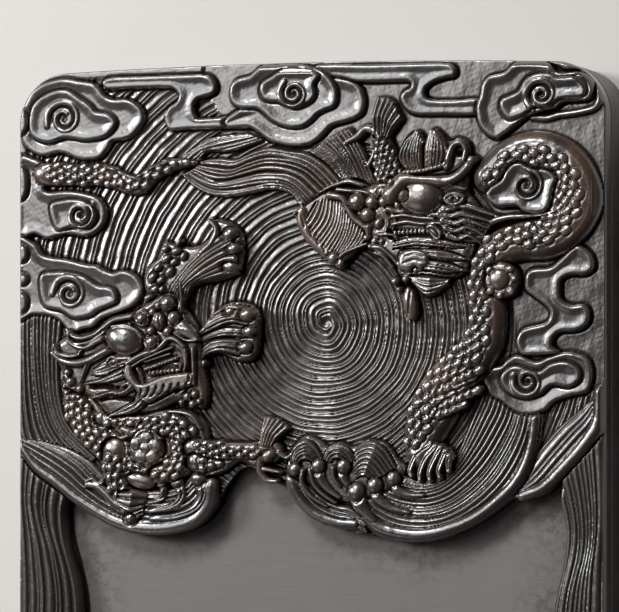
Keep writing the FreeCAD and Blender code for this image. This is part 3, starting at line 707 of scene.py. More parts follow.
@dataclass
class Clouds(Carving):
    """The cloud scrolls: flat lobes in layers, each dished inside a raised rim, with spiral cuts."""

    low: float = 33.3
    middle: float = 34.3
    high: float = 35.1

    def lobe(self, relief: Relief, outline: Points, top: float) -> None:
        """One layer of a cloud."""
        relief.plateau(outline, top, edge=0.9, drop=1.8, dish=0.45, reach=3.6, moat=0.6)

    def curl(self, relief: Relief, x: float, y: float, r: float, start: float, turns: float) -> None:
        """A cloud's spiral: a cut that winds in to a deep hollow, with a ridge beside it."""
        relief.rib(spiral(x, y, r * 1.25, r * 0.4, start, turns), 1.9, 0.55, 1.0)
        relief.groove(spiral(x, y, r * 1.0, r * 0.16, start, turns), 1.2, 0.9)
        relief.pit(x, y, r * 0.26, 1.0)

    def carve(self, relief: Relief) -> None:
        """Stamps the clouds, those behind first."""
        self.left(relief)
        self.bars(relief)
        self.centre(relief)
        self.right(relief)

    def left(self, relief: Relief) -> None:
        """The left clouds: the corner scroll, the ring below it, the lobes of the edge, the lower scroll."""
        relief.label("cloud_left_upper")
        self.lobe(relief, [(-85.5, 101), (-80, 102), (-76, 99), (-77, 95), (-76, 92.6), (-70, 92.8),
            (-64.2, 92), (-59.9, 90.3), (-58, 86.5), (-59.5, 82.1), (-64.2, 79.6), (-70, 80.4), (-76, 79),
            (-80, 80.4), (-86, 80)], self.low)
        self.lobe(relief, [(-75, 88.6), (-70, 90.4), (-64.6, 90), (-61.2, 87.4), (-60.8, 84.4), (-63.4, 82),
            (-68, 82.2), (-73, 81.6)], self.middle)
        self.curl(relief, -65.6, 85.8, 3.6, 40, -1.3)
        relief.label("cloud_top_left")
        self.lobe(relief, [(-82.6, 118.4), (-79, 122.6), (-72, 124.6), (-66, 123.8), (-62.1, 123.1),
            (-60.2, 121.8), (-58.4, 119.6), (-56.1, 118.5), (-52.4, 118.5), (-49.4, 117.4), (-47.2, 115.3),
            (-46.6, 112.7), (-47.6, 110.5), (-50.2, 107.8), (-53.2, 106.7), (-56.1, 106.3), (-57.6, 104.1),
            (-60.5, 101.6), (-66, 101.4), (-72, 103.4), (-78, 102.6), (-83, 105.6), (-84.6, 112)], self.low)
        self.lobe(relief, [(-80.6, 116.4), (-76, 120.4), (-70, 121.4), (-65, 118.6), (-62.1, 116.6),
            (-60.6, 115), (-57.6, 114.4), (-55.4, 113.2), (-54.6, 111.4), (-56.1, 109), (-58.6, 107.4),
            (-64, 106.6), (-70, 107.4), (-76, 106.2), (-81, 109)], self.middle)
        self.curl(relief, -70.5, 113, 4.4, 200, -1.4)
        relief.label("cloud_left_lower")
        self.lobe(relief, [(-86, 78.6), (-80, 78), (-77, 74.6), (-70, 73.4), (-64.2, 72), (-61.4, 71.8),
            (-58.8, 70.5), (-56.1, 69.6), (-53.9, 70.2), (-51.7, 70), (-49, 68.7), (-47.2, 66.4),
            (-46.8, 64.2), (-47.9, 62), (-49.8, 60.1), (-52.4, 58.8), (-57.6, 57.1), (-59.9, 56),
            (-62.1, 54.1), (-65.1, 53.4), (-67, 52.4), (-69.6, 53), (-72.2, 55.6), (-75, 57), (-80, 57.5),
            (-86, 57)], self.low)
        self.lobe(relief, [(-78, 68.6), (-73, 70), (-68, 69.6), (-64.2, 68.5), (-62.1, 67.2), (-59.9, 65.9),
            (-57.6, 65.7), (-55.4, 64.9), (-54.3, 63.1), (-54.5, 61.2), (-56.1, 60.3), (-59.9, 58.8),
            (-62.1, 57.4), (-65.1, 56.6), (-68.1, 56.6), (-71.6, 58.6), (-77, 60.4)], self.middle)
        self.curl(relief, -68.8, 63.6, 4.2, 180, -1.4)
        for y, height in ((112.5, 8), (95, 10), (75, 5.4), (67.6, 3.6), (61, 6)):
            relief.plateau([(-86.5, y - height / 2), (-82.6, y - height / 2.4), (-81.6, y),
                (-82.6, y + height / 2.4), (-86.5, y + height / 2)], 33.9, edge=1.2, drop=1.6, moat=0.6)

    def bars(self, relief: Relief) -> None:
        """The two hooked ribbons between the scrolls."""
        relief.label("cloud_bar_left")
        relief.plateau([(-58, 124.3), (-46, 124.7), (-34, 124.8), (-29.1, 124.8), (-26.5, 123.9),
            (-25.2, 122), (-25.2, 120), (-26.5, 118.9), (-29.1, 118.2), (-30.6, 117.7), (-31.5, 116.4),
            (-31.5, 114.2), (-30.8, 112.9), (-29.9, 112.5), (-22, 112.8), (-12, 113), (-12, 109.6),
            (-24, 109.5), (-34, 109.4), (-38.5, 109.2), (-40, 110.5), (-40.5, 113.5), (-39, 116),
            (-37, 117.3), (-36.3, 119), (-38, 120.8), (-41, 121.2), (-50, 121.2), (-58, 121.2)], 33.7,
            edge=0.8, drop=1.8, dish=0.3, moat=0.6)
        relief.label("cloud_bar_right")
        relief.plateau([(4, 126.4), (20, 126.3), (32, 126.3), (41, 126.2), (43.4, 125.3), (44.1, 123.8),
            (43.6, 122.4), (41.8, 122.1), (37.9, 121), (35.7, 119.4), (35.4, 117.6), (37, 116.4),
            (43, 116.1), (51, 116.1), (51, 112.1), (40, 112.0), (33.9, 112.1), (30.7, 113), (28.9, 114.9),
            (28.2, 117.1), (29.3, 118.9), (31.1, 119.9), (30.6, 121.3), (26, 121.4), (17, 121.4), (8, 122)],
            33.7, edge=0.8, drop=1.8, dish=0.3, moat=0.6)

    def centre(self, relief: Relief) -> None:
        """The central cloud: three layers stepping up to its spiral."""
        relief.label("cloud_top_centre")
        self.lobe(relief, [(-22, 112.8), (-22, 109.6), (-16, 109.6), (-13.1, 108.2), (-10.1, 106),
            (-7.1, 104.9), (-3.4, 104.1), (-0.4, 104.1), (2.6, 104.7), (4.8, 106), (6.7, 107.8),
            (8.2, 109.3), (10.4, 110.1), (12.7, 110.6), (15.6, 111.6), (17.5, 113.1), (18.2, 116),
            (17.7, 118.7), (16.8, 120.4), (14.9, 121.8), (10, 123), (0, 123), (-12, 118)], self.low)
        self.lobe(relief, [(-15.3, 124.1), (-19.1, 123.1), (-20.7, 121.3), (-21.1, 119), (-20.6, 116.8),
            (-19.1, 115.3), (-16.5, 114.7), (-13.1, 114.6), (-10.9, 113.1), (-8.6, 111.2), (-5.6, 109.7),
            (-2.3, 109.1), (0.7, 109.5), (3.3, 111.2), (4.8, 112.7), (7.1, 113.8), (9.3, 114.6),
            (10.4, 116.1), (10.6, 118.7), (10, 120.8), (8, 123.6), (4.8, 125.4), (-1.5, 127), (-8.6, 126.9),
            (-11.6, 126.7), (-13.1, 125.8)], self.middle)
        self.lobe(relief, [(-10.9, 122.4), (-11.8, 120.9), (-11.8, 119), (-10.9, 117.2), (-8.6, 116.4),
            (-6.4, 116.2), (-4.1, 115.1), (-1.5, 114.5), (0.7, 115), (3.4, 116.4), (4.6, 118.4), (4.2, 121),
            (5.6, 123.4), (3.3, 125.2), (-0.4, 125.8), (-4.1, 125.8), (-6.4, 125), (-8.4, 123.8)],
            self.high)
        self.curl(relief, -1.9, 118.6, 3.4, 130, 1.5)

    def right(self, relief: Relief) -> None:
        """The right clouds: the corner scroll, the one lying on the coil, the ribbon and the lower scroll."""
        relief.label("cloud_top_right")
        relief.rib([(61.1, 127.2), (68, 127.2), (72, 125.9), (74.5, 124.6), (78.6, 124.6), (82, 122.4),
            (83.7, 118), (82.6, 113.6), (78.5, 112.2), (72.4, 111.4), (69, 110.6), (65, 111)], 2.2, 1.4,
            1.8, top=31.6)
        self.lobe(relief, [(49.7, 113.6), (50.8, 117), (51.4, 120), (53.2, 122.3), (57.4, 123.3),
            (59.4, 125), (62, 126.4), (67, 126.5), (70.4, 125), (72.6, 122.9), (78.4, 122.9), (81.5, 120.7),
            (82.2, 117.8), (80.6, 115.3), (74.4, 114.8), (72, 113.3), (68.6, 112.4), (64, 111),
            (60.4, 108.3), (57.4, 106.2), (55.6, 105.2), (53, 106.2), (50.6, 109)], self.middle)
        self.lobe(relief, [(57, 116), (56.5, 113.9), (57.4, 111.6), (59.4, 110.2), (63, 111.2),
            (66.5, 113.3), (70, 113.2), (73.6, 115.4), (79.6, 116), (80.6, 119), (78.4, 121.6), (73, 121.6),
            (71.2, 122.6), (67.4, 122.8), (63.8, 121.4), (61.6, 118.2), (58.8, 116.8)], self.high)
        self.curl(relief, 68.2, 116.9, 3.7, 235, -1.3)
        relief.label("cloud_right_ribbon")
        relief.plateau([(63, 66), (63.6, 69), (65.8, 70.3), (70.1, 70.7), (72.9, 72.8), (77, 76.4),
            (79.6, 75.8), (82, 73.2), (82.2, 70), (79.6, 68.3), (76, 68.3), (73.5, 67), (73.1, 64.5),
            (73.5, 61.9), (76, 60.5), (79.6, 60.6), (81.2, 58.2), (80.4, 55), (77.4, 53.3), (73.3, 53),
            (71.4, 51.6), (71, 49.4), (73, 47.3), (68, 46.8), (62.6, 46.8), (60.8, 49.5), (61, 52),
            (63, 54.2), (68.4, 55.6), (70, 57.4), (69.4, 59.6), (65.8, 62.4), (63.6, 64)], 33.9, edge=1.0,
            drop=1.9, dish=0.4, moat=0.6)
        relief.label("cloud_right_lower")
        self.lobe(relief, [(51.5, 39.5), (52, 41.9), (53.8, 43.5), (56.5, 44.1), (57.9, 45.5), (60, 46.8),
            (62.4, 46.8), (65.1, 45.6), (67, 45.4), (69.8, 46.6), (74.7, 47.9), (79.8, 46.8), (81.6, 44),
            (81.8, 40.4), (80.4, 37), (76, 35.8), (71.4, 34.2), (68.8, 31.8), (65.1, 30.6), (61.5, 31),
            (58.8, 32.4), (56.5, 34.2), (53.4, 36)], self.low)
        self.lobe(relief, [(56.4, 41), (58.6, 43.6), (61.6, 44.2), (64.6, 43.2), (67.4, 42.8), (70.4, 44.8),
            (75, 45.4), (78.4, 43.4), (78.6, 40.2), (75.6, 38.2), (71, 38.6), (67.8, 36.2), (64, 35),
            (60, 35.8), (57.2, 38)], self.middle)
        self.curl(relief, 64.2, 39.8, 3.3, 160, 1.4)


@dataclass
class Plumes(Carving):
    """The left dragon's tail, the plumes at its end, and the beard of the right dragon beside them."""

    level: float = 34.3

    def carve(self, relief: Relief) -> None:
        """Stamps the tail, then the plumes from the far ones to the near ones, and the beard."""
        relief.label("left_dragon_tail")
        relief.studded([(-77, 97.4), (-70, 97.2), (-64, 97), (-58, 97), (-52, 94.5), (-48, 94),
            (-44.5, 96.8), (-40, 99), (-35, 100), (-29, 100.3)], [6.6, 6.2, 6, 5.4, 5, 3.4, 1.8],
            [32.2, 32.4, 32.6], 2.0, 2.3, 0.6, seed=6)
        relief.rib([(-58, 99.6), (-52, 97.2), (-48, 96.4), (-44, 98.6), (-38, 100.6)], 1.1, 0.7, 0.6)
        relief.label("tail_plume")
        self.plumes(relief)
        relief.label("right_dragon_mane")
        self.beard(relief)

    def plumes(self, relief: Relief) -> None:
        """Long strands that sweep to the right and turn down on to the stem, in overlapping sheaves."""
        level = self.level
        relief.sheaf([[(-36, 101.6), (-31, 104.6), (-26, 107), (-16, 108.2)], [(-30.5, 100.6), (-27, 103.2),
            (-21, 103.2), (-11.4, 106)]], 5, [33.4, level, 33.4], 1.0, crown=0.5, uneven=0.5, seed=3)
        relief.sheaf([[(-29.6, 100.8), (-24, 101.4), (-19, 101), (-14, 103), (-9, 104), (-3, 103),
            (2, 102.2), (7, 99.2), (11.4, 94.8)], [(-31, 98.6), (-26, 97), (-21, 96.5), (-16, 97.9),
            (-10, 99.3), (-4, 98.8), (1, 97), (4.6, 94), (7.2, 91.4)],
            [(-33.4, 97.4), (-29, 94.8), (-24, 93.4), (-18, 94), (-12, 95), (-6, 95), (-2, 93.6),
            (0.8, 91.2), (3.4, 88.6)], [(-35.6, 96.8), (-31, 93), (-27, 91.2), (-22, 90.6), (-16, 91.2),
            (-10, 92.4), (-5, 92), (-2, 90), (0.2, 86.6)]], 11, [33.6, level + 0.5, level], 1.5, crown=0.9,
            sharp=0.5, uneven=0.5, seed=6)
        relief.sheaf([[(2, 102.6), (7, 99.6), (11.4, 94.8)], [(5, 104), (9.6, 100.6), (13.4, 95)],
            [(9.6, 107), (13.6, 102), (17, 95)], [(14.2, 109), (18, 102.4), (22.2, 92)]], 13,
            [34.3, 34.6, 33.8], 1.3, crown=0.3, uneven=0.4, seed=5)
        for line in ([(-33, 97.8), (-29, 95.8), (-24, 94.9), (-18, 95.8), (-11, 97.2), (-5, 97)],
                [(-30.4, 99.6), (-25, 99), (-20, 98.6), (-15, 100.4), (-9, 101.6), (-3, 101)],
                [(-34.6, 97), (-30, 93.9), (-25, 92.2), (-18, 92.6), (-11, 93.7)]):
            relief.groove(line, 1.5, 1.0)
        relief.rib([(-1.4, 85.6), (1.4, 86.4), (4, 89), (7, 91.6), (10, 93.2), (13.8, 94.2), (17, 93.4),
            (22.4, 91.2)], 1.7, 1.6, 1.3, top=33.8)

    def beard(self, relief: Relief) -> None:
        """The beard: fine strands fanning from the stem down to a rolled edge, over a deep hollow."""
        relief.lower([(9, 70), (12, 74.6), (19, 76.6), (20.6, 72), (18, 67), (12, 66.4)], 31.0, 1.0)
        relief.plateau([(-0.6, 86), (4, 90), (9, 92.4), (14.6, 92.6), (19, 89), (19.6, 80), (17, 76.4),
            (11, 71.6), (5, 75.6), (0.4, 81)], 33.8, edge=1.0, drop=1.4)
        relief.sheaf([[(4.2, 88.6), (2.4, 85.6), (0.8, 83)], [(7.6, 89.6), (6.8, 84.4), (3.4, 79.8)],
            [(10.8, 89.6), (10.2, 82.8), (6.2, 76.8)], [(13.6, 87.4), (12.8, 80.4), (9.4, 74.4)],
            [(16.8, 83.4), (15.6, 79), (12.2, 74.4)], [(19.4, 80), (18.2, 77.4), (15.6, 76)]], 18,
            [34.0, 34.8, 34.4], 1.1, crown=0.4, sharp=0.5, seed=8)
        relief.rib([(0.2, 86), (0.4, 82.8), (2.2, 79.6), (4.4, 77.2), (7, 75), (9.6, 73.2), (11.2, 71.8)],
            3.6, 1.9, 3.0, top=33.0)
        for share in range(6):
            relief.groove([(0.4 + 2 * share, 85 - 2.7 * share), (1.4 + 2 * share, 81.6 - 2.3 * share)], 0.8,
                0.35)
        relief.rib([(10.2, 72.6), (13, 74.8), (16, 76), (19.2, 77.2)], 1.2, 1.3, 0.9, top=33.8)
        relief.ball(9.3, 73.2, 1.8, 35.0, moat=0.3)


@dataclass
class RightDragon(Carving):
    """The right dragon: its coil and body, its legs, and its head with crest, horns and beard."""

    body: float = 32.2

    def carve(self, relief: Relief) -> None:
        """Stamps the parts from the far ones to the near ones."""
        self.coil(relief)
        self.cloud_on_coil(relief)
        self.foreleg(relief)
        self.head_base(relief)
        self.jaws(relief)
        self.face(relief)
        self.crest(relief)

    def coil(self, relief: Relief) -> None:
        """The scaled body: a loop, then down to the waves, with its shoulder, haunch and hind foot."""
        relief.label("right_dragon_coil")
        relief.studded([(34.4, 20), (35.4, 26), (37.4, 31), (40.4, 36.6), (44.6, 41.6), (49, 46),
            (52, 51.4), (53, 57), (52.6, 63), (53, 69.4), (56, 75), (62, 77.4), (69, 78.4), (74, 81.4),
            (77.2, 86), (77.6, 91), (76, 95.6), (72.6, 99), (67.4, 101), (62, 100.6), (57.6, 98.4),
            (53.6, 95)], [9.6, 12, 13.6, 14, 13.4, 12.4, 11.6, 11, 10.6, 10.2, 10, 10, 10.4, 11.4, 12.4,
            13.2, 13.4, 13.2, 13, 12.6, 12, 11, 9.4], [31.9, self.body, self.body], 4.1, 2.75, 0.55,
            belly=3.4, seed=7)
        relief.rib([(50.4, 80.2), (54, 82.6), (59, 84), (66, 84.4), (72, 85.4)], 2.0, 1.2, 0.8, top=34.8)
        for row, (count, x, y) in enumerate(((4, 40.4, 30.6), (5, 42.4, 33.6), (5, 41, 37.4), (4, 45, 40.2))):
            for k in range(count):
                relief.ball(x + 2.2 * k * 0.94, y + 1.5 * k * 0.62 - 0.1 * row, 1.75,
                    36.7 - 0.12 * abs(k - 2), ry=1.25, turn=35, high=0.9, moat=0.3)
        relief.ball(57.2, 67.0, 4.9, 36.4, ry=5.0, high=2.0, moat=0.7)
        for x, y, r in ((54.2, 69.6, 1.2), (59.8, 70, 1.0), (61, 67.4, 0.9), (60, 64, 1.1), (57, 62.9, 1.0),
                (54.4, 64.2, 1.1)):
            relief.ball(x, y, r, 36.3, high=0.6, moat=0.25)
        relief.ball(56.8, 67.3, 2.8, 37.0, high=1.2, moat=0.35)
        relief.label("right_dragon_hind_claw")
        for toe in ([(37.6, 22.4), (33.6, 19.6), (31.6, 15.6), (32, 13.8)],
                [(39, 22), (36, 18.6), (34.4, 15), (34.4, 12.8)], [(40.4, 21.6), (38.2, 18), (37, 15),
                (37.2, 12.9)], [(41.8, 20.6), (40.4, 17.6), (39.6, 15.4), (40, 13.6)],
                [(42.8, 19.4), (42.4, 17.4), (42.4, 15.4)]):
            relief.rib(toe, 2.5, 2.0, 1.5, top=34.2)
            relief.groove(toe, 0.6, 0.4)

    def cloud_on_coil(self, relief: Relief) -> None:
        """The cloud scroll that lies over the coil."""
        relief.label("cloud_in_coil")
        relief.plateau([(52.8, 90.4), (54.3, 92.4), (57, 94.2), (58.3, 96.5), (60.2, 98.5), (62.9, 98.9),
            (65.1, 97.6), (67, 97.1), (69.2, 97.1), (71.7, 96), (72.8, 94), (71.9, 92), (71, 87.7),
            (69.4, 85.4), (66.5, 84.8), (63.3, 85.4), (61.5, 86.8), (58.8, 86.8), (56.1, 86.8),
            (53.6, 88.4)], 36.0, edge=0.9, drop=2.4, dish=0.5, reach=3.4, moat=0.9)
        relief.rib(spiral(64.2, 92.4, 4.6, 1.3, 80, -1.3), 1.7, 0.6, 0.9)
        relief.groove(spiral(64.2, 92.4, 3.6, 0.8, 60, -1.15), 1.5, 1.1)
        relief.pit(64.2, 92.4, 1.0, 1.0)

    def foreleg(self, relief: Relief) -> None:
        """The raised foreleg: a beaded forearm, a fan of toes and a side claw."""
        relief.label("right_dragon_forearm")
        relief.studded([(25.4, 92.6), (25.2, 96.6), (24.2, 101), (23, 106.4)], [8, 8.4, 6.6, 5],
            [32.4, 32.6, 33], 3.2, 1.75, 0.5, seed=8)
        relief.rib([(19.4, 98.6), (20.8, 101.4), (21.2, 104.6)], 1.6, 1.4, 1.0, top=33.2)
        relief.sheaf([[(21.4, 106), (20.6, 111), (21.7, 117)], [(23.6, 107), (24.2, 112), (26, 116.4)],
            [(25, 105.6), (27, 108.6), (29.2, 111)]], 6, [35.4, 36.2, 35.2], 1.3, crown=0.4, sharp=0.5,
            seed=15)
        relief.rib([(13.6, 105.2), (16.4, 106.6), (18.6, 108.6), (21.4, 107.8), (23.6, 105.6)], 2.0, 1.7,
            2.6, top=33.6)
        relief.rib([(27.8, 97.6), (26.4, 100.8), (25.6, 104.4)], 1.5, 1.2, 1.0, top=34)

    def head_base(self, relief: Relief) -> None:
        """The mass of the head, and the locks that hang below it."""
        relief.label("right_dragon_head")
        relief.plateau([(15, 91.4), (21, 93.4), (28, 95.4), (36, 96), (43, 95.4), (48, 96), (48, 91),
            (50.6, 86.6), (50.4, 80), (49, 74.4), (46.4, 69), (40, 67), (33, 66.6), (28.4, 68.4),
            (26.6, 72), (21.6, 74.4), (18.4, 80.4), (15.4, 86)], 35.2, edge=2.4, drop=2.8)
        relief.ball(31.2, 60.8, 1.9, 34.9, ry=4.6, turn=8, high=1.6)
        relief.groove([(31.6, 65), (31.2, 61), (30.8, 57.4)], 0.8, 0.6)
        relief.sheaf([[(31.6, 68.4), (36, 68.6), (42.6, 67.6)], [(32, 67), (36.6, 65.2), (42, 66.4)],
            [(32.2, 66), (36.4, 62.8), (42, 65.6)]], 4, [34.6, 35.6, 34.2], 1.0, crown=0.8, sharp=0.45,
            seed=17)
        locks = (([(27, 77.8), (32, 79), (38, 78.8), (43, 77.8), (48.8, 76.4)],
            [(27, 75.6), (33, 76.4), (39, 76), (44, 75.6), (48.6, 76)]),
            ([(29, 75.6), (36, 75.8), (42, 75.2), (48.6, 72.8)], [(31, 73.2), (37, 73), (42, 72.2),
            (48.2, 72.4)]), ([(31, 72.8), (38, 72.6), (43, 71.8), (47.6, 69.8)],
            [(31, 70), (38, 69.4), (42, 68.8), (47.2, 69.4)]),)
        for k, (upper, under) in enumerate(locks):
            relief.sheaf([upper, under], 3, [35.2, 36.5, 35.2], 1.2, crown=1.0, sharp=0.45, uneven=0.6,
                seed=40 + k)
        relief.plateau([(28.6, 70), (29, 74.6), (33, 75.6), (36.6, 74.6), (37, 71.4), (33.6, 69.4)], 36.2,
            edge=1.6, drop=1.4)
        for line in ([(30.4, 73.6), (33.4, 74.4), (36, 73.4)], [(30, 71.8), (33, 72.6), (36.4, 72)]):
            relief.groove(line, 0.7, 0.35)
        for x, y, r in ((27.2, 66.8, 1.1), (28.4, 64.6, 0.8), (30.2, 67.4, 1.0), (33.2, 69.8, 1.0)):
            relief.ball(x, y, r, 35.4, moat=0.3)

    def jaws(self, relief: Relief) -> None:
        """The open mouth: jaw ridges, teeth, fang, and the flames behind the cheek."""
        relief.sheaf([[(39, 88), (45, 87.6), (51, 86.4), (55, 84.6)], [(42.4, 79), (46, 77.6), (49, 77),
            (51.6, 77.4)]], 9, [35.2, 35.2, 34.2], 0.9, crown=0.2, uneven=0.5, seed=51)
        flames = (([(39.4, 87), (42.4, 86.2), (45.4, 87.4), (49, 86.8), (52.6, 85.4), (57, 84)], 2.6),
            ([(40, 85), (43.4, 84.4), (46, 85.2), (49.6, 84.2), (55.2, 82.6)], 2.2),
            ([(41, 83.2), (44.4, 82.4), (47, 83.3), (50, 82.6), (53.8, 80.8)], 2.2),
            ([(42, 81.2), (44.6, 80.4), (47.4, 81.4), (50, 80.6), (52.8, 78.8)], 2.0),
            ([(42.6, 79.2), (45.4, 78.2), (48, 79.2), (51.6, 76.8)], 1.8),)
        for flame, width in flames:
            relief.rib(flame, width, 1.7, 0.5, top=35.2, lift=-0.8)
            relief.groove([(x, y + 0.25) for x, y in flame[:-1]], 0.5, 0.45)
        relief.lower([(25, 81), (28, 81.4), (34, 81.2), (38.4, 80.6), (40, 79), (37, 78.6), (31, 78.6),
            (26, 78)], 33.6, 0.8)
        for k in range(9):
            relief.ball(27.4 + 1.15 * k, 80.1 + 0.04 * k, 0.55, 35.3, ry=0.8, moat=0)
        relief.rib([(25.6, 86.6), (28, 86), (32, 86), (36, 85.4), (39.4, 84.9)], 1.5, 1.6, 1.1, top=35.4)
        relief.rib([(26.6, 84.4), (30, 84.8), (34, 84.2), (38.6, 83.8)], 1.1, 1.2, 0.8, top=35.2)
        relief.rib([(27, 82.3), (31, 83), (35, 82.4), (40.4, 82.4), (41.6, 79.6)], 1.3, 1.5, 0.8, top=35.2)
        for curve in ([(24.4, 86), (25.6, 83.2), (24.8, 80.2)], [(22.9, 79.6), (26, 79.6), (28, 78.8)],
                [(26.4, 86), (27.6, 83.2), (26.8, 80.8)], [(23.4, 88), (24.6, 86.2), (26.4, 85.6)]):
            relief.rib(curve, 1.0, 1.0, 0.6, top=35.2)
        relief.ball(22.8, 82.7, 1.1, 36.4, ry=1.5, turn=-25)
        relief.plateau([(36.4, 81.6), (38.4, 82.4), (41, 80), (40, 77.8), (38, 79)], 36.7, edge=0.7, drop=1.2)
        relief.groove([(37.4, 81.2), (39.4, 80.4), (39.8, 78.8), (38.2, 79.8)], 0.6, 0.8, closed=True)
        relief.rib([(20.4, 76.4), (23.4, 76), (26, 74), (28.6, 71)], 1.8, 1.5, 1.2, top=34.4)
        relief.rib([(21.6, 74.6), (24, 73.6), (26.6, 70.6)], 1.4, 1.2, 0.8, top=34)
        for x, y, r in ((21.6, 77.8, 1.2), (23.6, 77.7, 0.9), (19.2, 78.8, 0.9)):
            relief.ball(x, y, r, 35.8, moat=0.3)

    def face(self, relief: Relief) -> None:
        """The snout's knobs, the lip, the brow that runs out into the long horn, the eye and the ear."""
        relief.rib([(8.6, 90.5), (12.4, 89.6), (14.2, 86.6), (15.8, 84), (18.4, 82), (20, 80.6)], 2.2, 2.0,
            1.6, top=34.4)
        relief.rib([(11, 92), (14.6, 91.6), (18.8, 91.2), (22.4, 89.8)], 1.3, 1.3, 0.9, top=34.8)
        relief.rib([(19.9, 81.6), (19.9, 79.2)], 2.2, 1.8, 1.2, top=35)
        relief.ball(16.6, 88.6, 2.6, 37.2)
        relief.ball(20.9, 88.4, 1.9, 37.0)
        relief.ball(19.6, 85, 2.0, 37.0)
        relief.ball(23.8, 91.4, 1.3, 36.8)
        relief.ball(24.2, 88.6, 1.5, 36.6)
        relief.ball(28.6, 87.8, 1.5, 36.6)
        relief.ball(34.8, 89.6, 6.6, 37.7, ry=4.9, turn=-6, high=3.2, moat=0.25)
        relief.ball(29.6, 90.4, 2.4, 36.9, moat=0)
        relief.rib([(26.4, 90.4), (28.6, 93.2), (31.6, 94.8), (37, 94.5), (41.6, 93.8), (45, 95),
            (47.4, 97.2), (49.2, 99.4)], 5.4, 2.6, 2.3, top=35.3)
        relief.ball(49.2, 99.4, 1.35, 37.4, moat=0.2)
        relief.rib([(41, 92.2), (44, 92.6), (47.4, 91.6)], 1.5, 1.0, 0.7, top=35)
        relief.ball(44.3, 89.1, 3.2, 37.0, ry=2.0, high=1.3, moat=0.6)
        relief.groove([(42.2, 89.1), (44.2, 90.2), (46.3, 89.2), (44.4, 88)], 0.7, 0.7, closed=True)
        relief.pit(44.4, 89.1, 0.8, 0.9)
        relief.ball(26.4, 93.8, 1.2, 36.6)
        relief.ball(24.6, 94.8, 0.9, 36.2)

    def crest(self, relief: Relief) -> None:
        """The crest: two fluted lobes, a hooked horn and a beaded base."""
        relief.label("right_dragon_crest")
        relief.plateau([(28, 99.6), (29, 104), (32, 107.4), (35, 105.2), (38.4, 108.4), (42, 105),
            (44.6, 105.8), (47.8, 104.2), (48, 100.4), (44.6, 97), (40, 95.4), (32, 95.8)], 33.6, edge=1.4,
            drop=1.6)
        relief.sheaf([[(30.4, 96.8), (28.2, 100.6), (29.8, 104.4), (33.2, 107.8)],
            [(33, 96.4), (32.4, 100.8), (33.2, 104.8), (34, 107.4)], [(35.2, 96.6), (35.2, 100.8),
            (35.2, 103.6), (35.8, 104.6)]], 8, [35, 36.2, 36.4], 1.0, crown=0.5, seed=21)
        relief.sheaf([[(35.4, 96.6), (35.6, 100.8), (36, 104), (37.2, 107.8)],
            [(38, 97), (38.6, 101), (39, 104.6), (38.6, 107.6)], [(40.6, 98), (42.6, 100.8), (42.2, 103.2),
            (40.4, 106)]], 8, [35, 36.2, 36.4], 1.0, crown=0.5, seed=22)
        relief.rib([(41.8, 98), (42.8, 101.4), (44, 103.8), (46.2, 104.2), (47.3, 102.2), (46.6, 99.4)],
            2.2, 2.0, 1.6, top=34.4)
        relief.pit(45.2, 101.4, 1.0, 1.4)
        for k in range(11):
            relief.ball(30.4 + 1.1 * k, 96.5 + 0.02 * k * k, 0.7, 36.0, moat=0.3)


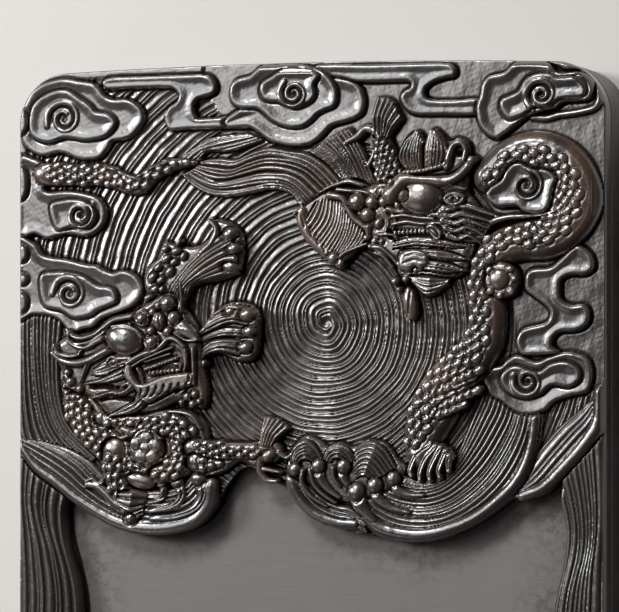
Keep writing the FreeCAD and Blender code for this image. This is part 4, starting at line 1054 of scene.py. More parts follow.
@dataclass
class LeftDragon(Carving):
    """The left dragon: its coiled body, its legs and paws, and its head with antlers and flames."""

    body: float = 35.4

    def carve(self, relief: Relief) -> None:
        """Stamps the parts from the far ones to the near ones."""
        self.coil(relief)
        self.legs(relief)
        self.paws(relief)
        self.head_base(relief)
        self.antlers(relief)
        self.mouth(relief)
        self.face(relief)

    def coil(self, relief: Relief) -> None:
        """The scaled body: down the left, under the haunch, and an arch at the right."""
        relief.label("left_dragon_coil")
        relief.plateau([(-71, 39), (-70.4, 31), (-66, 24.6), (-58.5, 18.6), (-57, 12.4), (-52, 10.6),
            (-46, 13), (-40, 11.6), (-33, 12.6), (-27.6, 18), (-27.6, 26), (-33, 31), (-43, 30.8),
            (-54, 31.4), (-60, 34.4), (-64, 40)], 34.0, edge=2.0, drop=2.2)
        relief.studded([(-66.6, 41), (-67.2, 36.6), (-66.4, 31), (-63, 26), (-58.4, 21.8), (-53, 18),
            (-46.6, 15.6), (-40, 15.4)], [6.6, 7.6, 9, 9.8, 9.8, 9, 7.6], [32.6, 32.8, 33], 3.0, 2.45, 0.7,
            seed=9)
        relief.studded([(-59, 28.6), (-54.4, 27.8), (-50, 27.4), (-45, 27.2)], [4.4, 4.2, 4.4],
            [33.4, 33.6], 1.8, 2.2, 0.6, seed=10)
        relief.studded([(-52, 25.6), (-48, 24.4), (-44, 26.4), (-39.6, 27.2), (-35.4, 25.4), (-33.4, 21.6),
            (-34.2, 17.4), (-38.2, 14.2), (-42, 13)], [2.4, 4, 6, 7.4, 8, 8.4, 8, 7, 5.6],
            [33.4, 33.0, 32.8], 3.0, 2.4, 0.7, seed=11)
        relief.rib([(-57.6, 28.2), (-52, 28.9), (-47.2, 28.6), (-42, 30), (-37, 30.6), (-32, 29.6),
            (-29.2, 26)], 1.5, 1.4, 1.0, top=34)
        relief.rib([(-57, 22.6), (-53.6, 22.8), (-50.4, 23.8), (-47.4, 25.4)], 1.6, 1.3, 1.0, top=34.6)
        relief.rib([(-56.4, 20.8), (-53, 20.9), (-49.6, 21.4)], 1.2, 1.0, 0.8, top=34.6)
        relief.ball(-44.9, 20.2, 5.0, 36.9, ry=4.9, high=1.5, moat=0.9)
        for x, y, r in ((-47.4, 21.6, 1.9), (-44.6, 23, 2.0), (-42.2, 21, 1.9), (-43, 18.2, 1.8),
                (-46.2, 18, 1.9), (-44.8, 20.4, 1.6)):
            relief.ball(x, y, r, 37.0, high=0.45, moat=0.1)
        relief.rib([(-48.8, 22.6), (-46.4, 25), (-43.4, 25.2), (-40.4, 23)], 1.0, 0.9, 0.7, top=35.6)

    def legs(self, relief: Relief) -> None:
        """The hind leg and foot at the left bowl, and the foreleg that reaches over the step."""
        relief.label("left_dragon_coil")
        relief.studded([(-55, 19.6), (-55.4, 14.6), (-54, 9.4), (-51.4, 5.6)], [7.6, 7, 6.4, 5.6],
            [33.4, 33.2, 33], 2.4, 2.3, 0.65, seed=12)
        relief.label("left_dragon_lower_claw")
        relief.ball(-47.4, 11.2, 4.4, 34.7, ry=2.4, turn=-12, high=1.6, moat=0.5)
        relief.sheaf([[(-53.4, 8.2), (-49.4, 8.6), (-45.4, 7.8)], [(-53.6, 4.6), (-50, 3.2), (-46.2, 4)],
            [(-52.6, 2.4), (-50, -0.6), (-46.6, 1.2)]], 5, [35.4, 35.8, 34.2], 1.2, crown=0.9, sharp=0.45,
            seed=23)
        relief.rib([(-63.2, 9.8), (-60.4, 9.4), (-57.8, 7.4), (-55, 4.8), (-51.6, 3)], 2.2, 1.7, 3.2,
            top=33.4)
        relief.rib([(-63.4, 10.6), (-61.8, 11.4), (-59.8, 10)], 1.3, 1.2, 0.8, top=33.6)
        relief.ball(-50.3, 0.5, 1.9, 35.0)
        relief.label("left_dragon_hind_leg")
        relief.plateau([(-31, 23), (-27, 22.6), (-20, 22.2), (-13, 22.4), (-9, 24), (-5.6, 21),
            (-6.4, 17.6), (-10, 16.2), (-13.6, 15.4), (-18, 16.8), (-22.6, 14), (-27, 12.8), (-31.6, 14.8)],
            34.4, edge=1.6, drop=2.0)
        relief.studded([(-31.6, 20.6), (-26.4, 20), (-20, 19.6), (-13.6, 19.8), (-9.4, 19.8)],
            [5.8, 5.4, 5, 4.8, 4], [33.4, 33.6], 2.2, 2.1, 0.7, seed=13)
        relief.studded([(-31, 16.6), (-27.4, 15.8), (-23.4, 16.2)], [5.8, 4.8, 3], [33, 33], 2.0, 2.2, 0.7,
            seed=14)
        relief.sheaf([[(-12.6, 21.4), (-11.6, 25), (-11.2, 29.2)], [(-10.6, 21.4), (-9, 25.6), (-7, 28.8)],
            [(-8.6, 20.8), (-6.6, 23.6), (-3.6, 26.2)]], 6, [34.6, 35.2, 33.8], 1.1, crown=0.4, seed=24)
        relief.ball(-9.2, 18.8, 2.4, 36.0, ry=1.7, turn=30, moat=0.4)
        relief.rib([(-11.6, 18.4), (-11.8, 14.6), (-10, 12), (-7, 11.6)], 3.0, 2.1, 1.5, top=33.2)
        relief.rib([(-10.6, 15), (-8.4, 14.6), (-6.2, 14.2)], 1.6, 1.4, 1.0, top=33.6)
        relief.rib([(-6.6, 19.6), (-4.2, 18.2), (-2.4, 19.8)], 1.6, 1.4, 0.8, top=33.2)

    def paws(self, relief: Relief) -> None:
        """The two paws at the right of the head: one sweeping up, one clenched."""
        relief.label("left_dragon_upper_claw")
        relief.plateau([(-46, 64), (-46, 70), (-41.4, 74.6), (-40.6, 78), (-36, 77), (-30.6, 77),
            (-25.6, 80.6), (-26.6, 83.8), (-22.6, 84), (-18, 81), (-17.2, 75), (-18.6, 69.4), (-24, 67.2),
            (-31, 65.6), (-35.4, 60.6), (-40, 61)], 34.0, edge=1.8, drop=2.2)
        rng = np.random.default_rng(5)
        for x, y, r in ((-38.4, 69.6, 1.3), (-43.5, 68, 1.3), (-41, 67.3, 1.1), (-42.7, 64.8, 1.1),
                (-44.5, 62.3, 1.2), (-39.4, 73.2, 1.2), (-37, 72.4, 1.0), (-36.4, 75.4, 1.2),
                (-39.6, 76, 0.9), (-34.2, 74, 1.0), (-41.8, 70.8, 1.0), (-43, 61, 1.0), (-41.4, 62.6, 0.9),
                (-35.6, 77.8, 0.9), (-40.6, 64.8, 0.8)):
            relief.ball(x, y, r * 1.25, 35.6, ry=r * 0.85, turn=float(rng.uniform(10, 60)), moat=0.4)
        relief.sheaf([[(-40.4, 62), (-38, 66), (-33.6, 71), (-29, 75.6), (-22.4, 80.8)],
            [(-37, 61.4), (-35, 66), (-30, 70.8), (-25, 74.4), (-19.6, 77)],
            [(-34.6, 61), (-33.4, 65.4), (-28, 69), (-22.6, 71.6), (-18.6, 72)],
            [(-33.6, 62), (-31.4, 65.8), (-27, 67.4), (-22, 68.4), (-18.4, 69)]], 7, [34.8, 36.4, 35.6],
            1.6, crown=1.0, sharp=0.45, uneven=0.5, seed=26)
        relief.rib([(-28.6, 75), (-25.6, 78), (-24.4, 81.4), (-26.4, 83.9)], 2.6, 1.9, 1.4, top=34.2)
        relief.ball(-20.6, 80, 2.4, 35.8, ry=1.8, turn=30)
        relief.ball(-19.4, 76, 2.0, 35.9, ry=1.5, turn=10)
        relief.ball(-20.4, 71, 2.6, 35.6, ry=1.7, turn=-8)
        relief.label("left_dragon_middle_claw")
        relief.plateau([(-29.6, 51), (-27, 56), (-23, 60.4), (-17, 61), (-13, 58.4), (-12.4, 53),
            (-13.6, 46), (-18.4, 44.6), (-24, 46.8), (-30, 46)], 34.2, edge=1.8, drop=2.4)
        relief.sheaf([[(-29.4, 53.6), (-25, 58.4), (-20, 60.6), (-14.6, 59.8)],
            [(-29.6, 52.6), (-25, 55.8), (-20, 57.4), (-15, 56.6)],
            [(-29.8, 51.6), (-25, 53.4), (-20, 55.2), (-15.6, 54.4)]], 5, [34.6, 36.4, 35], 1.4, crown=0.9,
            sharp=0.45, uneven=0.5, seed=27)
        relief.sheaf([[(-29, 48.6), (-26, 50.6), (-21.6, 51.2), (-17.4, 51)],
            [(-29.4, 46), (-26, 48.4), (-21.6, 49.2), (-17, 48.6)],
            [(-30, 43.8), (-27.6, 46.2), (-23.6, 47.2), (-18, 46)]], 3, [34.6, 36.2, 35], 1.5, crown=0.8,
            sharp=0.45, seed=28)
        relief.sheaf([[(-29.4, 51.4), (-25.6, 53), (-21, 54.2), (-15, 53.8)],
            [(-29.2, 49.6), (-25.6, 51), (-21, 51.6), (-15.4, 51.2)]], 3, [34.4, 35.8, 34.8], 1.3,
            crown=0.6, sharp=0.45, seed=29)
        for x, y, r in ((-15.6, 57.6, 2.3), (-14.8, 53, 1.9), (-16, 48.6, 2.0), (-20.4, 58.6, 1.5),
                (-28.4, 44.2, 1.2)):
            relief.ball(x, y, r, 35.8, ry=r * 0.8, moat=0.6)

    def head_base(self, relief: Relief) -> None:
        """The mass of the head and the mottled neck below it."""
        relief.label("left_dragon_head")
        relief.plateau([(-73.4, 47), (-70.4, 51.4), (-62, 53), (-56.5, 57), (-49, 58.8), (-43.5, 62.4),
            (-37.5, 63.8), (-33.6, 59), (-29.4, 51.4), (-28.6, 44), (-27.2, 36), (-29, 31.4), (-35, 33.6),
            (-43, 30.4), (-50, 29.4), (-56.6, 29), (-62, 34), (-69.6, 36.4), (-71, 40.4)], self.body - 0.6,
            edge=2.2, drop=2.6)
        for x, y, r in ((-68, 38.7, 1.3), (-65.2, 36.7, 1.1), (-66.8, 34.4, 1.0), (-69, 35.6, 0.9),
                (-68.8, 41.4, 1.0)):
            relief.ball(x, y, r, 36.2, moat=0.5)

    def antlers(self, relief: Relief) -> None:
        """Three long horns that sweep to the left, with a prong and a curl."""
        relief.rib([(-49, 57.2), (-54.3, 56.2), (-57.6, 54), (-60.6, 52), (-65.1, 51), (-68.4, 52.4)], 1.7,
            1.5, 1.2, top=35.4)
        relief.rib([(-50, 54.9), (-54.6, 54.2), (-58.6, 51.9), (-62, 50), (-66, 49.4), (-68.6, 50.8)], 1.3,
            1.2, 1.0, top=35.3)
        relief.rib([(-55.6, 51.9), (-59.4, 50.3), (-62.9, 48.4), (-66.2, 48.8), (-68.6, 50.4)], 1.7, 1.6,
            1.1, top=35.4)
        relief.rib([(-54.6, 48.6), (-58.4, 46.7), (-62.1, 44.8), (-66.6, 44), (-70.3, 44.8), (-73, 46.8)],
            2.8, 2.2, 1.8, top=35.2)
        relief.groove([(-55, 49.4), (-59, 47.4), (-62.6, 46), (-66, 45.6)], 0.7, 0.6)
        relief.rib([(-62.2, 44.6), (-63.6, 41.6), (-64.6, 39)], 2.0, 1.8, 1.0, top=35)
        relief.rib([(-72.6, 49), (-71, 46.6), (-68, 45.9), (-65.2, 46.4), (-64.6, 47.4)], 1.3, 1.4, 0.9,
            top=35.4)
        relief.ball(-68.4, 52.2, 1.0, 36.4, moat=0.3)

    def mouth(self, relief: Relief) -> None:
        """The open mouth in its frame, two rows of teeth, the flaming jaw and the ear's curl."""
        relief.sheaf([[(-49.6, 47.4), (-53, 47), (-57, 44.8), (-61, 42.4)],
            [(-49, 43), (-53, 41.6), (-57, 40.4), (-61.4, 40.4)]], 4, [36.6, 36.4, 35.6], 0.8, crown=0.4,
            sharp=0.5, uneven=0.6, seed=34)
        relief.sheaf([[(-51, 43.4), (-55, 41.6), (-59, 39.6), (-63.8, 38.4)],
            [(-49.6, 40.6), (-54, 38.9), (-58, 38.3), (-63.4, 38)]], 2, [36.8, 36.6, 35.6], 1.0, crown=0.7,
            sharp=0.4, seed=31)
        relief.sheaf([[(-49.4, 40), (-53, 37.6), (-57, 36), (-61.9, 34.5)],
            [(-47, 37.4), (-51.6, 34.8), (-56, 34), (-61.6, 34.1)]], 2, [37, 36.8, 35.4], 1.1, crown=0.7,
            sharp=0.4, seed=32)
        relief.sheaf([[(-46.4, 36.4), (-49, 33.6), (-52.4, 31.6), (-56.8, 29.3)],
            [(-43.6, 34.6), (-46, 31.4), (-49.6, 29.8), (-56, 28.9)]], 2, [37, 36.6, 35.2], 1.1, crown=0.7,
            sharp=0.4, seed=33)
        relief.plateau([(-50.6, 44.4), (-51.4, 40.4), (-48, 36.6), (-45, 33), (-41, 34.4), (-36.6, 36.6),
            (-31.4, 38), (-31, 41.4), (-35, 41.4), (-40, 40.6), (-46, 38.4), (-48.4, 40.6), (-48.8, 43.4)],
            37.0, edge=0.9, drop=1.6)
        for k in range(8):
            x, y = -48.2 + 2.25 * k, 36 + 0.42 * k - 0.12 * (3 - k) ** 2 * 0.4
            relief.groove([(x, y + 0.6), (x - 0.7, y - 1.2), (x - 1.7, y - 2.4)], 0.8, 0.9)
        for cut in ([(-61.6, 37.3), (-58, 37.6), (-55, 37.2)], [(-60, 33.4), (-56, 34.6), (-51, 34.2),
                (-48.6, 33.6)], [(-54.6, 36.9), (-52, 36.9), (-50.4, 37.8)]):
            relief.groove(cut, 1.9, 2.2)
        relief.lower([(-49.2, 43.4), (-45, 45.4), (-40, 47.4), (-35.6, 48.4), (-34.2, 46), (-33.8, 43),
            (-35, 41.4), (-40, 40.6), (-45.6, 38.6), (-47, 38), (-48.6, 40.4)], 34.0, 0.9)
        relief.rib([(-45.4, 42.4), (-42, 43.6), (-38.6, 44.8), (-36.2, 45.6)], 1.4, 1.6, 1.2, top=34.2)
        relief.rib([(-45.6, 44.4), (-42, 45.6), (-38, 46.8)], 0.9, 1.4, 0.8, top=34.2)
        for k in range(8):
            relief.ball(-44 + 1.15 * k, 41.3 + 0.13 * k, 0.55, 35.6, ry=0.75, moat=0.2)
            relief.groove([(-43.4 + k, 44.0 + 0.36 * k), (-43.6 + k, 42.9 + 0.36 * k)], 0.4, 0.6)
        relief.rib([(-47.6, 42.6), (-46.6, 40.8), (-46, 38.6)], 1.2, 1.7, 0.8, top=34.4)
        relief.rib([(-36.6, 44), (-35.2, 43.8), (-35, 42.4), (-36, 42.2)], 0.8, 1.4, 0.6, top=34.6)
        relief.rib([(-50.4, 44), (-47, 46), (-43.6, 47.4), (-40.4, 48.9), (-38.2, 51), (-35.8, 50.6),
            (-33.6, 48.8)], 1.8, 1.7, 1.3, top=35.5)
        relief.rib([(-49.6, 42.8), (-46, 45), (-42, 46.7), (-37, 48.6)], 0.9, 1.0, 0.7, top=35.5)
        relief.rib([(-33.2, 47.8), (-32.8, 44.6), (-33.4, 42.2)], 1.2, 1.5, 1.0, top=35.4)
        relief.rib([(-31, 48.2), (-30.8, 43), (-30.6, 38.4)], 1.3, 1.4, 1.1, top=35.2)
        relief.groove([(-32, 46.6), (-31.8, 42), (-31.8, 38.8)], 0.8, 0.9)
        relief.rib(spiral(-54.6, 44.2, 1.9, 0.7, 200, -1.2), 0.9, 1.2, 0.6, top=35.8)
        for x, y, r in ((-33, 34.8, 1.3), (-30.8, 35.6, 1.1), (-31.4, 32.8, 1.2), (-29.4, 33.6, 0.9),
                (-34.6, 33.2, 0.9)):
            relief.ball(x, y, r, 35.8, moat=0.4)

    def face(self, relief: Relief) -> None:
        """The smooth brow, the ringed eyes, the knobs of the snout and its leaf."""
        relief.plateau([(-36.6, 55.6), (-33.6, 56), (-30.6, 53.2), (-29.2, 50.7), (-33, 51.2), (-36.4, 53)],
            36.4, edge=1.2, drop=1.6)
        relief.rib([(-36.2, 52.6), (-33, 50.6), (-29.4, 50.6)], 0.9, 1.1, 0.6, top=35.8)
        relief.rib([(-35.8, 54), (-32.6, 53.2), (-29.8, 51)], 0.7, 0.8, 0.5, top=36)
        relief.rib([(-34.8, 66.4), (-34.4, 62), (-34.6, 58.4)], 1.1, 1.4, 0.8, top=35)
        relief.ball(-51.6, 50.6, 5.7, 38.0, ry=4.4, turn=-14, high=3.0, moat=0.8)
        relief.rib([(-55, 54.3), (-51, 54.6), (-47.6, 53.2), (-46, 51.2)], 1.0, 0.8, 0.8, top=36)
        for x, y, r, ring in ((-46.2, 56.6, 1.5, 0.7), (-43.4, 50, 1.7, 0.6)):
            relief.ball(x, y, r + ring, 36.6, high=1.0, moat=0.8)
            relief.groove([(x + (r + 0.1) * math.cos(a), y + (r + 0.1) * math.sin(a))
                           for a in np.linspace(0, 2 * math.pi, 9)[:-1]], 0.7, 0.9, closed=True)
            relief.ball(x, y, r, 37.3, moat=0)
        relief.ball(-38.6, 60.7, 2.3, 37.6, moat=0.9)
        relief.ball(-41.2, 55.9, 1.8, 37.2, ry=2.5, turn=12, moat=0.8)
        relief.ball(-36.7, 56.8, 1.8, 37.2, ry=1.9, moat=0.7)
        relief.ball(-43.6, 53.2, 1.2, 36.6, moat=0.4)
        relief.ball(-41.4, 60.2, 1.2, 36.4, moat=0.4)
        relief.ball(-43.2, 58.4, 1.1, 36.3, moat=0.4)
        relief.ball(-38.6, 53, 1.3, 36.6, moat=0.4)
        for line in ([(-42, 57.6), (-42.2, 55), (-41.4, 53.6)], [(-40.8, 58), (-40.6, 55.6), (-40.2, 54)],
                [(-37.8, 57.8), (-37, 56), (-36.2, 55)]):
            relief.groove(line, 0.5, 0.45)


def carvings(hall: Hall) -> list[Carving]:
    """Every part of the carving, in the order in which it is stamped on the map."""
    return [Ground(), hall, Water(), Clouds(), Plumes(), RightDragon(), LeftDragon()]


# ------------------------------------------------------------------ from the map to closed pieces
@dataclass
class Sampled:
    """The relief at the pieces' own spacing: corner points, their slopes, and the faces of each region.

    A face is four corners, or three where the stone's edge crosses a cell (its last corner is then -1).
    """

    x: Array
    y: Array
    z: Array
    normal: Array
    near_cut: Array
    wide_cut: Array
    faces: Array
    region: Array


def box_blur(z: Array, reach: int) -> Array:
    """The mean over a square of side 2 * reach + 1 points, from running sums along each axis."""
    for axis in (0, 1):
        pad = [(0, 0), (0, 0)]
        pad[axis] = (reach + 1, reach)
        total = np.cumsum(np.pad(z.astype(np.float64), pad, mode="edge"), axis=axis)
        size = 2 * reach + 1
        high = np.take(total, np.arange(size, total.shape[axis]), axis=axis)
        low = np.take(total, np.arange(0, total.shape[axis] - size), axis=axis)
        z = ((high - low) / size).astype(np.float32)
    return z


def tidy_regions(cell: Array, count: int) -> Array:
    """Gives each cell the region most common around it, and joins cells that touch only at a corner."""
    for _ in range(2):
        best = np.zeros(cell.shape, np.int32)
        winner = cell.copy()
        for k in range(count):
            here = np.pad((cell == k).astype(np.int32), 1)
            votes = sum(here[a:a + cell.shape[0], b:b + cell.shape[1]] for a in range(3) for b in range(3))
            more = votes > best
            best[more] = votes[more]
            winner[more] = k
        cell = winner
    for _ in range(6):
        a, b, c, d = cell[:-1, :-1], cell[:-1, 1:], cell[1:, :-1], cell[1:, 1:]
        rising = (a == d) & (b != a) & (c != a)
        b[rising] = a[rising]
        falling = (b == c) & (a != b) & (d != b)
        a[falling] = b[falling]
    return cell


def sample(relief: Relief) -> Sampled:
    """Reads the relief at each point of its map, and the region of each cell between four points.

    A cut is how far a point lies below the mean around it, over a small reach and over a wide one.
    """
    slope_y, slope_x = np.gradient(relief.z, relief.pitch)
    n = np.stack([-slope_x, -slope_y, np.ones_like(relief.z)], -1)
    n /= np.linalg.norm(n, axis=-1, keepdims=True)
    small, large = round(NEAR_REACH / relief.pitch), round(WIDE_REACH / relief.pitch)
    # the fine cut also sets the painted shade in the cuts of the carved finish
    near = (box_blur(box_blur(relief.z, small), small) - relief.z).ravel()
    wide = (box_blur(box_blur(relief.z, large), large) - relief.z).ravel()
    gx, gy = np.meshgrid(relief.x, relief.y)
    cx = 0.5 * (gx[:-1, :-1] + gx[1:, 1:])
    cy = 0.5 * (gy[:-1, :-1] + gy[1:, 1:])
    cell = tidy_regions(relief.region[:-1, :-1], len(relief.names))
    cell[relief.outline.inside(cx, cy) < 0] = 255
    faces, region = faces_of(cell)
    x, y = gx.ravel().astype(float), gy.ravel().astype(float)
    rim = np.unique(open_edges(faces))
    x[rim], y[rim] = relief.outline.snap(x[rim], y[rim])
    z = relief.z.ravel()
    z[rim] = np.minimum(z[rim], EDGE_FOOT)
    near[rim] = wide[rim] = 0
    return Sampled(x, y, z, n.reshape(-1, 3), near, wide, faces, region)


def faces_of(cell: Array) -> tuple[Array, Array]:
    """The faces over a grid of cells, and their regions; 255 is left out.

    Where three of the four cells round a corner are in and the fourth is out, the fourth is filled with a
    triangle, so that the outer edge runs slantwise and not in steps.
    """
    rows, cols = cell.shape
    j, i = np.nonzero(cell != 255)
    a = j * (cols + 1) + i
    faces = [np.stack([a, a + 1, a + cols + 2, a + cols + 1], -1)]
    region = [cell[j, i]]
    out = cell == 255
    pad = np.pad(out, 1, constant_values=True)
    for dj, di in ((-1, -1), (-1, 1), (1, -1), (1, 1)):
        beside = ~pad[1:-1, 1 + di:1 + di + cols]
        above = ~pad[1 + dj:1 + dj + rows, 1:-1]
        corner = ~pad[1 + dj:1 + dj + rows, 1 + di:1 + di + cols]
        j, i = np.nonzero(out & beside & above & corner)
        a = j * (cols + 1) + i
        ring = [a, a + 1, a + cols + 2, a + cols + 1]
        at = {(-1, -1): 0, (-1, 1): 1, (1, 1): 2, (1, -1): 3}[dj, di]
        faces.append(np.stack([ring[at - 1], ring[at], ring[(at + 1) % 4], np.full_like(a, -1)], -1))
        region.append(cell[j, i + di])
    return np.vstack(faces), np.concatenate(region)


def open_edges(faces: Array) -> Array:
    """The directed edges of a set of faces that no other face runs back along."""
    four = faces[:, 3] >= 0
    quads, tris = faces[four], faces[~four][:, :3]
    edges = np.vstack([np.stack([f[:, k], f[:, (k + 1) % f.shape[1]]], -1)
        for f in (quads, tris) for k in range(f.shape[1])])
    size = int(edges.max()) + 1
    key = edges[:, 0] * size + edges[:, 1]
    back = edges[:, 1] * size + edges[:, 0]
    return edges[~np.isin(key, back)]


def fill_flat(loop_points: Array, edges: Array) -> Array:
    """Triangles that fill closed loops of edges, holes left open."""
    verts, _, faces, origins, _, _ = delaunay_2d_cdt([Vector(p) for p in loop_points.tolist()],
        edges.tolist(), [], 4, 1e-6)
    if len(verts) != len(loop_points):
        raise ValueError(f"{len(loop_points)} points became {len(verts)}")
    back = np.array([o[0] for o in origins])
    return back[np.array(faces)]


def without_holes(under: Array, edge: Array, size: int) -> Array:
    """Drops the triangles that close a hole of the underside.

    The piece lies to the left of its edges, and its underside runs back along them. So a triangle that runs
    along an edge lies in a hole, and so does each triangle it meets that no edge parts it from.

    Args:
        under: the underside's triangles, clockwise from above.
        edge: the piece's directed edges.
        size: number of points.

    Returns:
        The triangles that are left.
    """
    after = np.roll(under, -1, axis=1)
    ahead, back = under * size + after, after * size + under
    along = edge[:, 0] * size + edge[:, 1]
    parted = np.concatenate([along, edge[:, 1] * size + edge[:, 0]])
    hole = np.isin(ahead, along).any(axis=1)
    more = hole
    while more.any():
        reach = np.setdiff1d(back[more], parted)
        more = np.isin(ahead, reach).any(axis=1) & ~hole
        hole = hole | more
    return under[~hole]


def piece_mesh(name: str, data: Sampled, chosen: Array, bottom: float, outline: Outline) -> bpy.types.Mesh:
    """A closed piece over some of the faces: the relief on top, upright sides, a flat underside.

    Args:
        name: the mesh's name.
        data: the sampled relief.
        chosen: which faces belong to it.
        bottom: height of the underside, in mm.
        outline: the stone's outline.

    Returns:
        The mesh, in metres.
    """
    faces = data.faces[chosen]
    edge = open_edges(faces)
    used = np.unique(faces[faces >= 0])
    rank = np.full(len(data.x) + 1, -1)
    rank[used] = np.arange(len(used))
    rim = np.unique(edge)
    low_rank = np.full(len(data.x), -1)
    low_rank[rim] = len(used) + np.arange(len(rim))
    normal = data.normal[used]
    points = np.vstack([np.stack([data.x[used], data.y[used], data.z[used]], -1),
        np.stack([data.x[rim], data.y[rim], np.full(len(rim), bottom)], -1)])
    quads = rank[faces[faces[:, 3] >= 0]]
    corners = rank[faces[faces[:, 3] < 0][:, :3]]
    skirt = np.stack([rank[edge[:, 1]], rank[edge[:, 0]], low_rank[edge[:, 0]], low_rank[edge[:, 1]]], -1)
    under = fill_flat(points[len(used):, :2], low_rank[edge] - len(used))
    tri = points[len(used):][under][:, :, :2]
    turn = np.cross(tri[:, 1] - tri[:, 0], tri[:, 2] - tri[:, 0])
    under[turn > 0] = under[turn > 0][:, ::-1]
    under = without_holes(under, low_rank[edge] - len(used), len(rim)) + len(used)

    along = points[skirt[:, 0]] - points[skirt[:, 1]]
    out = np.stack([-along[:, 1], along[:, 0], np.zeros(len(along))], -1)
    out /= np.maximum(np.linalg.norm(out, axis=1, keepdims=True), 1e-9)
    mid = 0.5 * (points[skirt[:, 0]] + points[skirt[:, 1]])
    loops = np.concatenate([quads.ravel(), skirt.ravel(), corners.ravel(), under.ravel()])
    normals = np.concatenate([normal[quads.ravel()], np.repeat(out, 4, axis=0), normal[corners.ravel()],
        np.tile([0.0, 0.0, -1.0], (under.size, 1))])
    outer = outline.inside(mid[:, 0], mid[:, 1]) < 0.1
    if outer.any():
        e = 0.05
        wall = points[skirt[outer].ravel()]
        gx = outline.inside(wall[:, 0] + e, wall[:, 1]) - outline.inside(wall[:, 0] - e, wall[:, 1])
        gy = outline.inside(wall[:, 0], wall[:, 1] + e) - outline.inside(wall[:, 0], wall[:, 1] - e)
        w = -np.stack([gx, gy, np.zeros_like(gx)], -1)
        w /= np.maximum(np.linalg.norm(w, axis=1, keepdims=True), 1e-9)
        rows_at = quads.size + (np.nonzero(outer)[0][:, None] * 4 + np.arange(4)).ravel()
        normals[rows_at] = w
    fours = quads.size + skirt.size
    starts = np.concatenate([np.arange(0, fours, 4), fours + np.arange(0, corners.size + under.size, 3)])
    mesh = bpy.data.meshes.new(name)
    mesh.vertices.add(len(points))
    mesh.vertices.foreach_set("co", (points * MM).astype(np.float32).ravel())
    mesh.loops.add(len(loops))
    mesh.loops.foreach_set("vertex_index", loops.astype(np.int32))
    mesh.polygons.add(len(starts))
    mesh.polygons.foreach_set("loop_start", starts.astype(np.int32))
    mesh.update(calc_edges=True)
    mesh.normals_split_custom_set(normals.astype(np.float32))
    for key, values in (("near_cut", data.near_cut), ("wide_cut", data.wide_cut)):
        full = np.concatenate([values[used], np.zeros(len(rim))])
        mesh.attributes.new(key, "FLOAT", "POINT").data.foreach_set("value", full.astype(np.float32))
    return mesh


# ------------------------------------------------------------------ finishes
class Nodes:
    """A material's node tree with short calls to add, set and link its nodes."""

    def __init__(self, name: str) -> None:
        """Starts a material with a Principled shader."""
        self.material = bpy.data.materials.new(name)
        self.material.use_nodes = True
        self.tree = self.material.node_tree
        self.shader = self.tree.nodes["Principled BSDF"]

    def add(self, kind: str, props: dict | None = None, **inputs: object) -> bpy.types.Node:
        """Adds a node; sockets are set or linked by name, spaces as underscores, or as i and a number."""
        node = self.tree.nodes.new(kind)
        for key, value in (props or {}).items():
            setattr(node, key, value)
        for key, value in inputs.items():
            numbered = key[0] == "i" and key[1:].isdigit()
            self.feed(node.inputs[int(key[1:]) if numbered else key.replace("_", " ")], value)
        return node

    def feed(self, socket: bpy.types.NodeSocket, value: object) -> None:
        """Links an output to the socket, or sets its value."""
        if isinstance(value, bpy.types.NodeSocket):
            self.tree.links.new(value, socket)
        else:
            socket.default_value = value

    def math(self, operation: str, a: object, b: object = 0.0) -> bpy.types.NodeSocket:
        """One sum on two values."""
        return self.add("ShaderNodeMath", {"operation": operation}, i0=a, i1=b).outputs[0]

    def ramp(self, value: object, low: float, high: float, to_low: float = 0.0,
             to_high: float = 1.0) -> bpy.types.NodeSocket:
        """Maps a range of a value onto another, held at its ends."""
        return self.add("ShaderNodeMapRange", {"clamp": True}, Value=value, From_Min=low, From_Max=high,
                        To_Min=to_low, To_Max=to_high).outputs[0]

    def mix(self, share: object, a: object, b: object) -> bpy.types.NodeSocket:
        """Mixes two colours."""
        node = self.add("ShaderNodeMix", {"data_type": "RGBA"})
        self.feed(node.inputs["Factor"], share)
        self.feed(node.inputs[6], a)
        self.feed(node.inputs[7], b)
        return node.outputs[2]

    def attribute(self, name: str) -> bpy.types.NodeSocket:
        """The value of one of the piece's own attributes."""
        return self.add("ShaderNodeAttribute", {"attribute_name": name}).outputs["Fac"]

    def noise(self, scale: float, detail: float = 3.0, stretch: tuple | None = None,
              rough: float = 0.55) -> bpy.types.NodeSocket:
        """Cloudy noise on the piece's own coordinates, per metre, stretched along an axis if asked."""
        place = self.add("ShaderNodeTexCoord").outputs["Object"]
        if stretch:
            place = self.add("ShaderNodeMapping", None, Vector=place, Scale=stretch).outputs[0]
        return self.add("ShaderNodeTexNoise", None, Vector=place, Scale=scale, Detail=detail,
                        Roughness=rough).outputs["Fac"]

    def finish(self, colour: object, roughness: object, bump: object, strength: float, distance: float,
               specular: object = 0.5, coat: object = 0.0) -> bpy.types.Material:
        """Feeds the shader: colour, roughness and a bump in metres."""
        s = self.shader.inputs
        self.feed(s["Base Color"], colour)
        self.feed(s["Roughness"], roughness)
        self.feed(s["Specular IOR Level"], specular)
        self.feed(s["Coat Weight"], coat)
        s["Coat Roughness"].default_value = 0.28
        relief = self.add("ShaderNodeBump", None, Height=bump, Strength=strength, Distance=distance)
        self.feed(s["Normal"], relief.outputs[0])
        return self.material


